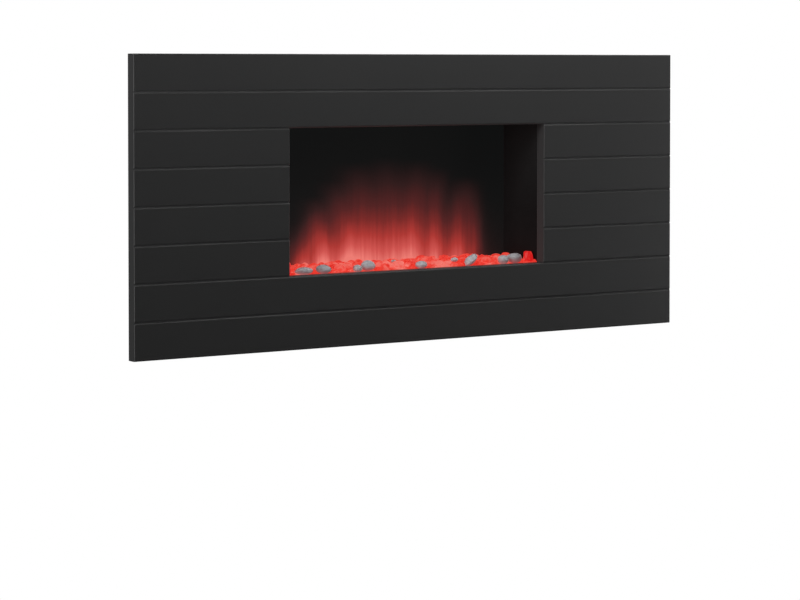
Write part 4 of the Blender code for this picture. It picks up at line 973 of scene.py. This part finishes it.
def add_head(bm, place, out, radius, turn, recess=True):
    """Adds a pan head, turned by some degrees, with a cross recess if it is a screw."""
    steps = 24
    turning = frame_towards(out)
    start = math.radians(turn)

    def ring(shape, height):
        """A ring of points at a height, as far out as its shape gives for each angle."""
        points = []
        for step in range(steps):
            angle = 2.0 * math.pi * step / steps
            reach = shape(angle)
            local = Vector(
                (reach * math.cos(angle + start), reach * math.sin(angle + start), height)
            )
            points.append(bm.verts.new(Vector(place) + turning @ local))
        return points

    # From the sheet outwards: the side, the domed top, then the recess or a flat crown
    rings = [
        ring(lambda angle: radius, 0.0),
        ring(lambda angle: radius, 0.22 * radius),
        ring(lambda angle: 0.90 * radius, 0.40 * radius),
        ring(lambda angle: 0.66 * radius, 0.52 * radius),
    ]
    if recess:
        rings.append(ring(lambda angle: cross_radius(angle, 0.52 * radius), 0.56 * radius))
        rings.append(ring(lambda angle: cross_radius(angle, 0.44 * radius), 0.16 * radius))
    else:
        rings.append(ring(lambda angle: 0.34 * radius, 0.60 * radius))
    for lower, upper in zip(rings, rings[1:]):
        for step in range(steps):
            after = (step + 1) % steps
            bm.faces.new((lower[step], lower[after], upper[after], upper[step]))
    bm.faces.new(rings[-1])
    bm.faces.new(list(reversed(rings[0])))


def spread(low, high, count):
    """Evenly spaced numbers, both ends included."""
    return [low + (high - low) * index / (count - 1) for index in range(count)]


def cover_screw_places():
    """Where the rear cover's screws are: round its rim, at the motor's foot, at the bush."""
    low, high = COVER_LOW, COVER_HIGH
    side_zs = spread(low.z + SIDE_ROW_INSET, high.z - SIDE_ROW_INSET, 4)
    long_xs = spread(-high.x + LONG_ROW_INSET, high.x - LONG_ROW_INSET, 6)
    places = [(x, z) for x in (-high.x + SCREW_INSET, high.x - SCREW_INSET) for z in side_zs]
    places += [(x, z) for z in (low.z + SCREW_INSET, high.z - SCREW_INSET) for x in long_xs]
    bush_low, bush_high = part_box("spindle_bush")
    places.append(((bush_low.x + bush_high.x) / 2, bush_low.z))
    foot_low, foot_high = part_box("spindle_motor")
    places.append((foot_high.x - FOOT_INSET_X, foot_low.z + FOOT_INSET_Z))
    places.append((foot_high.x - FOOT_INSET_X, foot_high.z - FOOT_INSET_Z))
    return places


def make_cover_screws(chance):
    """Screws that hold the rear cover."""
    bm = bmesh.new()
    for x, z in cover_screw_places():
        place = (x, COVER_HIGH.y, z)
        add_head(bm, place, (0, 1, 0), COVER_SCREW, chance.uniform(0, 90))
    add_piece("rear_cover_screws", bm, "zinc_steel", "fire")


def make_case_screws(chance):
    """Screws in the case's sides, top and base."""
    bm = bmesh.new()
    low, high = CASE_LEFT_LOW, CASE_LEFT_HIGH
    for z in spread(low.z + SIDE_ROW_INSET, high.z - SIDE_ROW_INSET, 4):
        for y in (low.y + SCREW_INSET, high.y - SCREW_INSET):
            for x, out in ((low.x, (-1, 0, 0)), (CASE_RIGHT_X, (1, 0, 0))):
                add_head(bm, (x, y, z), out, CASE_SCREW, chance.uniform(0, 90))
    low, high = CASE_TOP_LOW, CASE_TOP_HIGH
    for x in spread(-COVER_HIGH.x + LONG_ROW_INSET, COVER_HIGH.x - LONG_ROW_INSET, 6):
        for y in (low.y + SCREW_INSET, high.y - SCREW_INSET):
            for z, out in ((high.z, (0, 0, 1)), (CASE_BASE_Z, (0, 0, -1))):
                add_head(bm, (x, y, z), out, CASE_SCREW, chance.uniform(0, 90))
    add_piece("case_screws", bm, "black_steel", "fire")


def make_hanger_rivets():
    """Four rivets on each wall hanger's plate."""
    bm = bmesh.new()
    for side in ("left", "right"):
        low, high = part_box(f"wall_hanger_{side}")
        for x in (low.x + RIVET_INSET, high.x - RIVET_INSET):
            for height in RIVET_HEIGHTS:
                place = (x, low.y + HANGER_PLATE, low.z + height)
                add_head(bm, place, (0, 1, 0), RIVET, 0.0, recess=False)
    add_piece("hanger_rivets", bm, "zinc_steel", "fire")


# --- Floor, lights and camera -------------------------------------------------------

# The floor's radius, the shares of it where the fade to white starts and ends, and how
# far it lies below the front's middle
FLOOR_RADIUS = 2.2
FADE_START = 0.3
FADE_END = 0.97
FLOOR_DROP = 1.2


def make_floor():
    """A pale round floor below the fire, which fades into the white studio.

    It throws no light back up, so the lower planks stay as dark as in the photograph.
    """
    bm = bmesh.new()
    bmesh.ops.create_circle(bm, cap_ends=True, segments=96, radius=FLOOR_RADIUS)
    mesh = bpy.data.meshes.new("floor")
    bm.to_mesh(mesh)
    bm.free()
    floor = bpy.data.objects.new("floor", mesh)
    floor.location = (0.0, 0.0, FRONT_MIDDLE.z - FLOOR_DROP)
    floor.visible_diffuse = False
    floor.visible_glossy = False
    bpy.context.scene.collection.objects.link(floor)
    paint = Paint("floor_paint", (0.80, 0.80, 0.80), 0.9)
    length = paint.add("VectorMath", operation="LENGTH")
    paint.feed(length.inputs[0], paint.place)
    start = FADE_START * FLOOR_RADIUS
    end = FADE_END * FLOOR_RADIUS
    rim = paint.levels(length.outputs["Value"], start, end)
    paint.colour(paint.mix(rim, (0.80, 0.80, 0.80), (0.0, 0.0, 0.0)))
    paint.glow(paint.mix(rim, (0.25, 0.25, 0.25), (1.0, 1.0, 1.0)))
    floor.data.materials.append(paint.material)


# Strength of the studio's even light, to everything but the camera
DOME_STRENGTH = 0.01


def make_world():
    """White to the camera, and a dim even dome to everything else."""
    world = bpy.data.worlds.new("studio")
    bpy.context.scene.world = world
    world.use_nodes = True
    tree = world.node_tree
    tree.nodes.clear()
    dome = tree.nodes.new("ShaderNodeBackground")
    white = tree.nodes.new("ShaderNodeBackground")
    path = tree.nodes.new("ShaderNodeLightPath")
    mix = tree.nodes.new("ShaderNodeMixShader")
    output = tree.nodes.new("ShaderNodeOutputWorld")
    dome.inputs["Strength"].default_value = DOME_STRENGTH
    tree.links.new(path.outputs["Is Camera Ray"], mix.inputs[0])
    tree.links.new(dome.outputs[0], mix.inputs[1])
    tree.links.new(white.outputs[0], mix.inputs[2])
    tree.links.new(mix.outputs[0], output.inputs[0])
    white.inputs["Color"].default_value = (1.0, 1.0, 1.0, 1.0)


# Softboxes: where each stands from the front's middle, its width and height, its power
SOFTBOXES = {
    "top_edge": ((0.1, -0.25, 0.55), (1.6, 0.2), 4.4),
    "top_right": ((0.9, -0.5, 1.2), (1.0, 0.7), 0.4),
    "left_fill": ((-3.0, -0.9, 0.2), (1.0, 1.8), 43.0),
    "left_high": ((-2.6, -0.8, 1.2), (1.0, 1.2), 21.5),
    "right_near": ((1.9, -0.7, 1.0), (0.8, 1.0), 10.0),
    "right_edge": ((1.15, -0.4, -0.05), (0.3, 0.8), 2.2),
    "right_low": ((2.6, -2.6, -0.5), (1.6, 1.2), 8.6),
    "rear_left": ((-2.0, 2.8, 1.2), (1.6, 1.6), 6.0),
    "rear_right": ((2.2, 2.6, 1.0), (1.6, 1.6), 60.0),
    "rear_high": ((0.4, 3.2, 2.2), (2.0, 1.2), 70.0),
}


def make_softboxes():
    """Area lights, all aimed at the middle of the front."""
    for name, (offset, size, power) in SOFTBOXES.items():
        data = bpy.data.lights.new(name, "AREA")
        data.shape = "RECTANGLE"
        data.size, data.size_y = size
        data.energy = power
        lamp = bpy.data.objects.new(name, data)
        lamp.location = FRONT_MIDDLE + Vector(offset)
        lamp.rotation_euler = (-Vector(offset)).to_track_quat("-Z", "Y").to_euler()
        lamp.visible_camera = False
        bpy.context.scene.collection.objects.link(lamp)


# The camera: place from the front's middle, degrees down and to the right of straight
# ahead, focal length in millimetres, and upward shift of its frame
CAMERA_OFFSET = (-2.2047, -3.2366, 0.2075)
CAMERA_DOWN = 1.714
CAMERA_RIGHT = 33.774
CAMERA_LENS = 113.05
CAMERA_SHIFT = -0.2


def make_camera():
    """Camera at the photograph's angle: left of the front and nearly as high as its top."""
    data = bpy.data.cameras.new("camera")
    data.sensor_width = 36.0
    data.lens = CAMERA_LENS
    data.shift_y = CAMERA_SHIFT
    camera = bpy.data.objects.new("camera", data)
    camera.location = FRONT_MIDDLE + Vector(CAMERA_OFFSET)
    camera.rotation_euler = (
        math.radians(90.0 - CAMERA_DOWN), 0.0, math.radians(-CAMERA_RIGHT)
    )
    bpy.context.scene.collection.objects.link(camera)
    bpy.context.scene.camera = camera


# --- Assembly -----------------------------------------------------------------------

make_camera()

for node_name, node in frame["nodes"].items():
    wear(node, SLOT_OF[node_name])
for node_name, edge in EASED_EDGES.items():
    eased_copy(node_name, edge)

make_fuel_bed()
make_coals()
make_pebbles()
screw_turns = random.Random(SCREW_SEED)
make_cover_screws(screw_turns)
make_case_screws(screw_turns)
make_hanger_rivets()

make_floor()
make_world()
make_softboxes()
bpy.context.scene.view_settings.view_transform = "Standard"
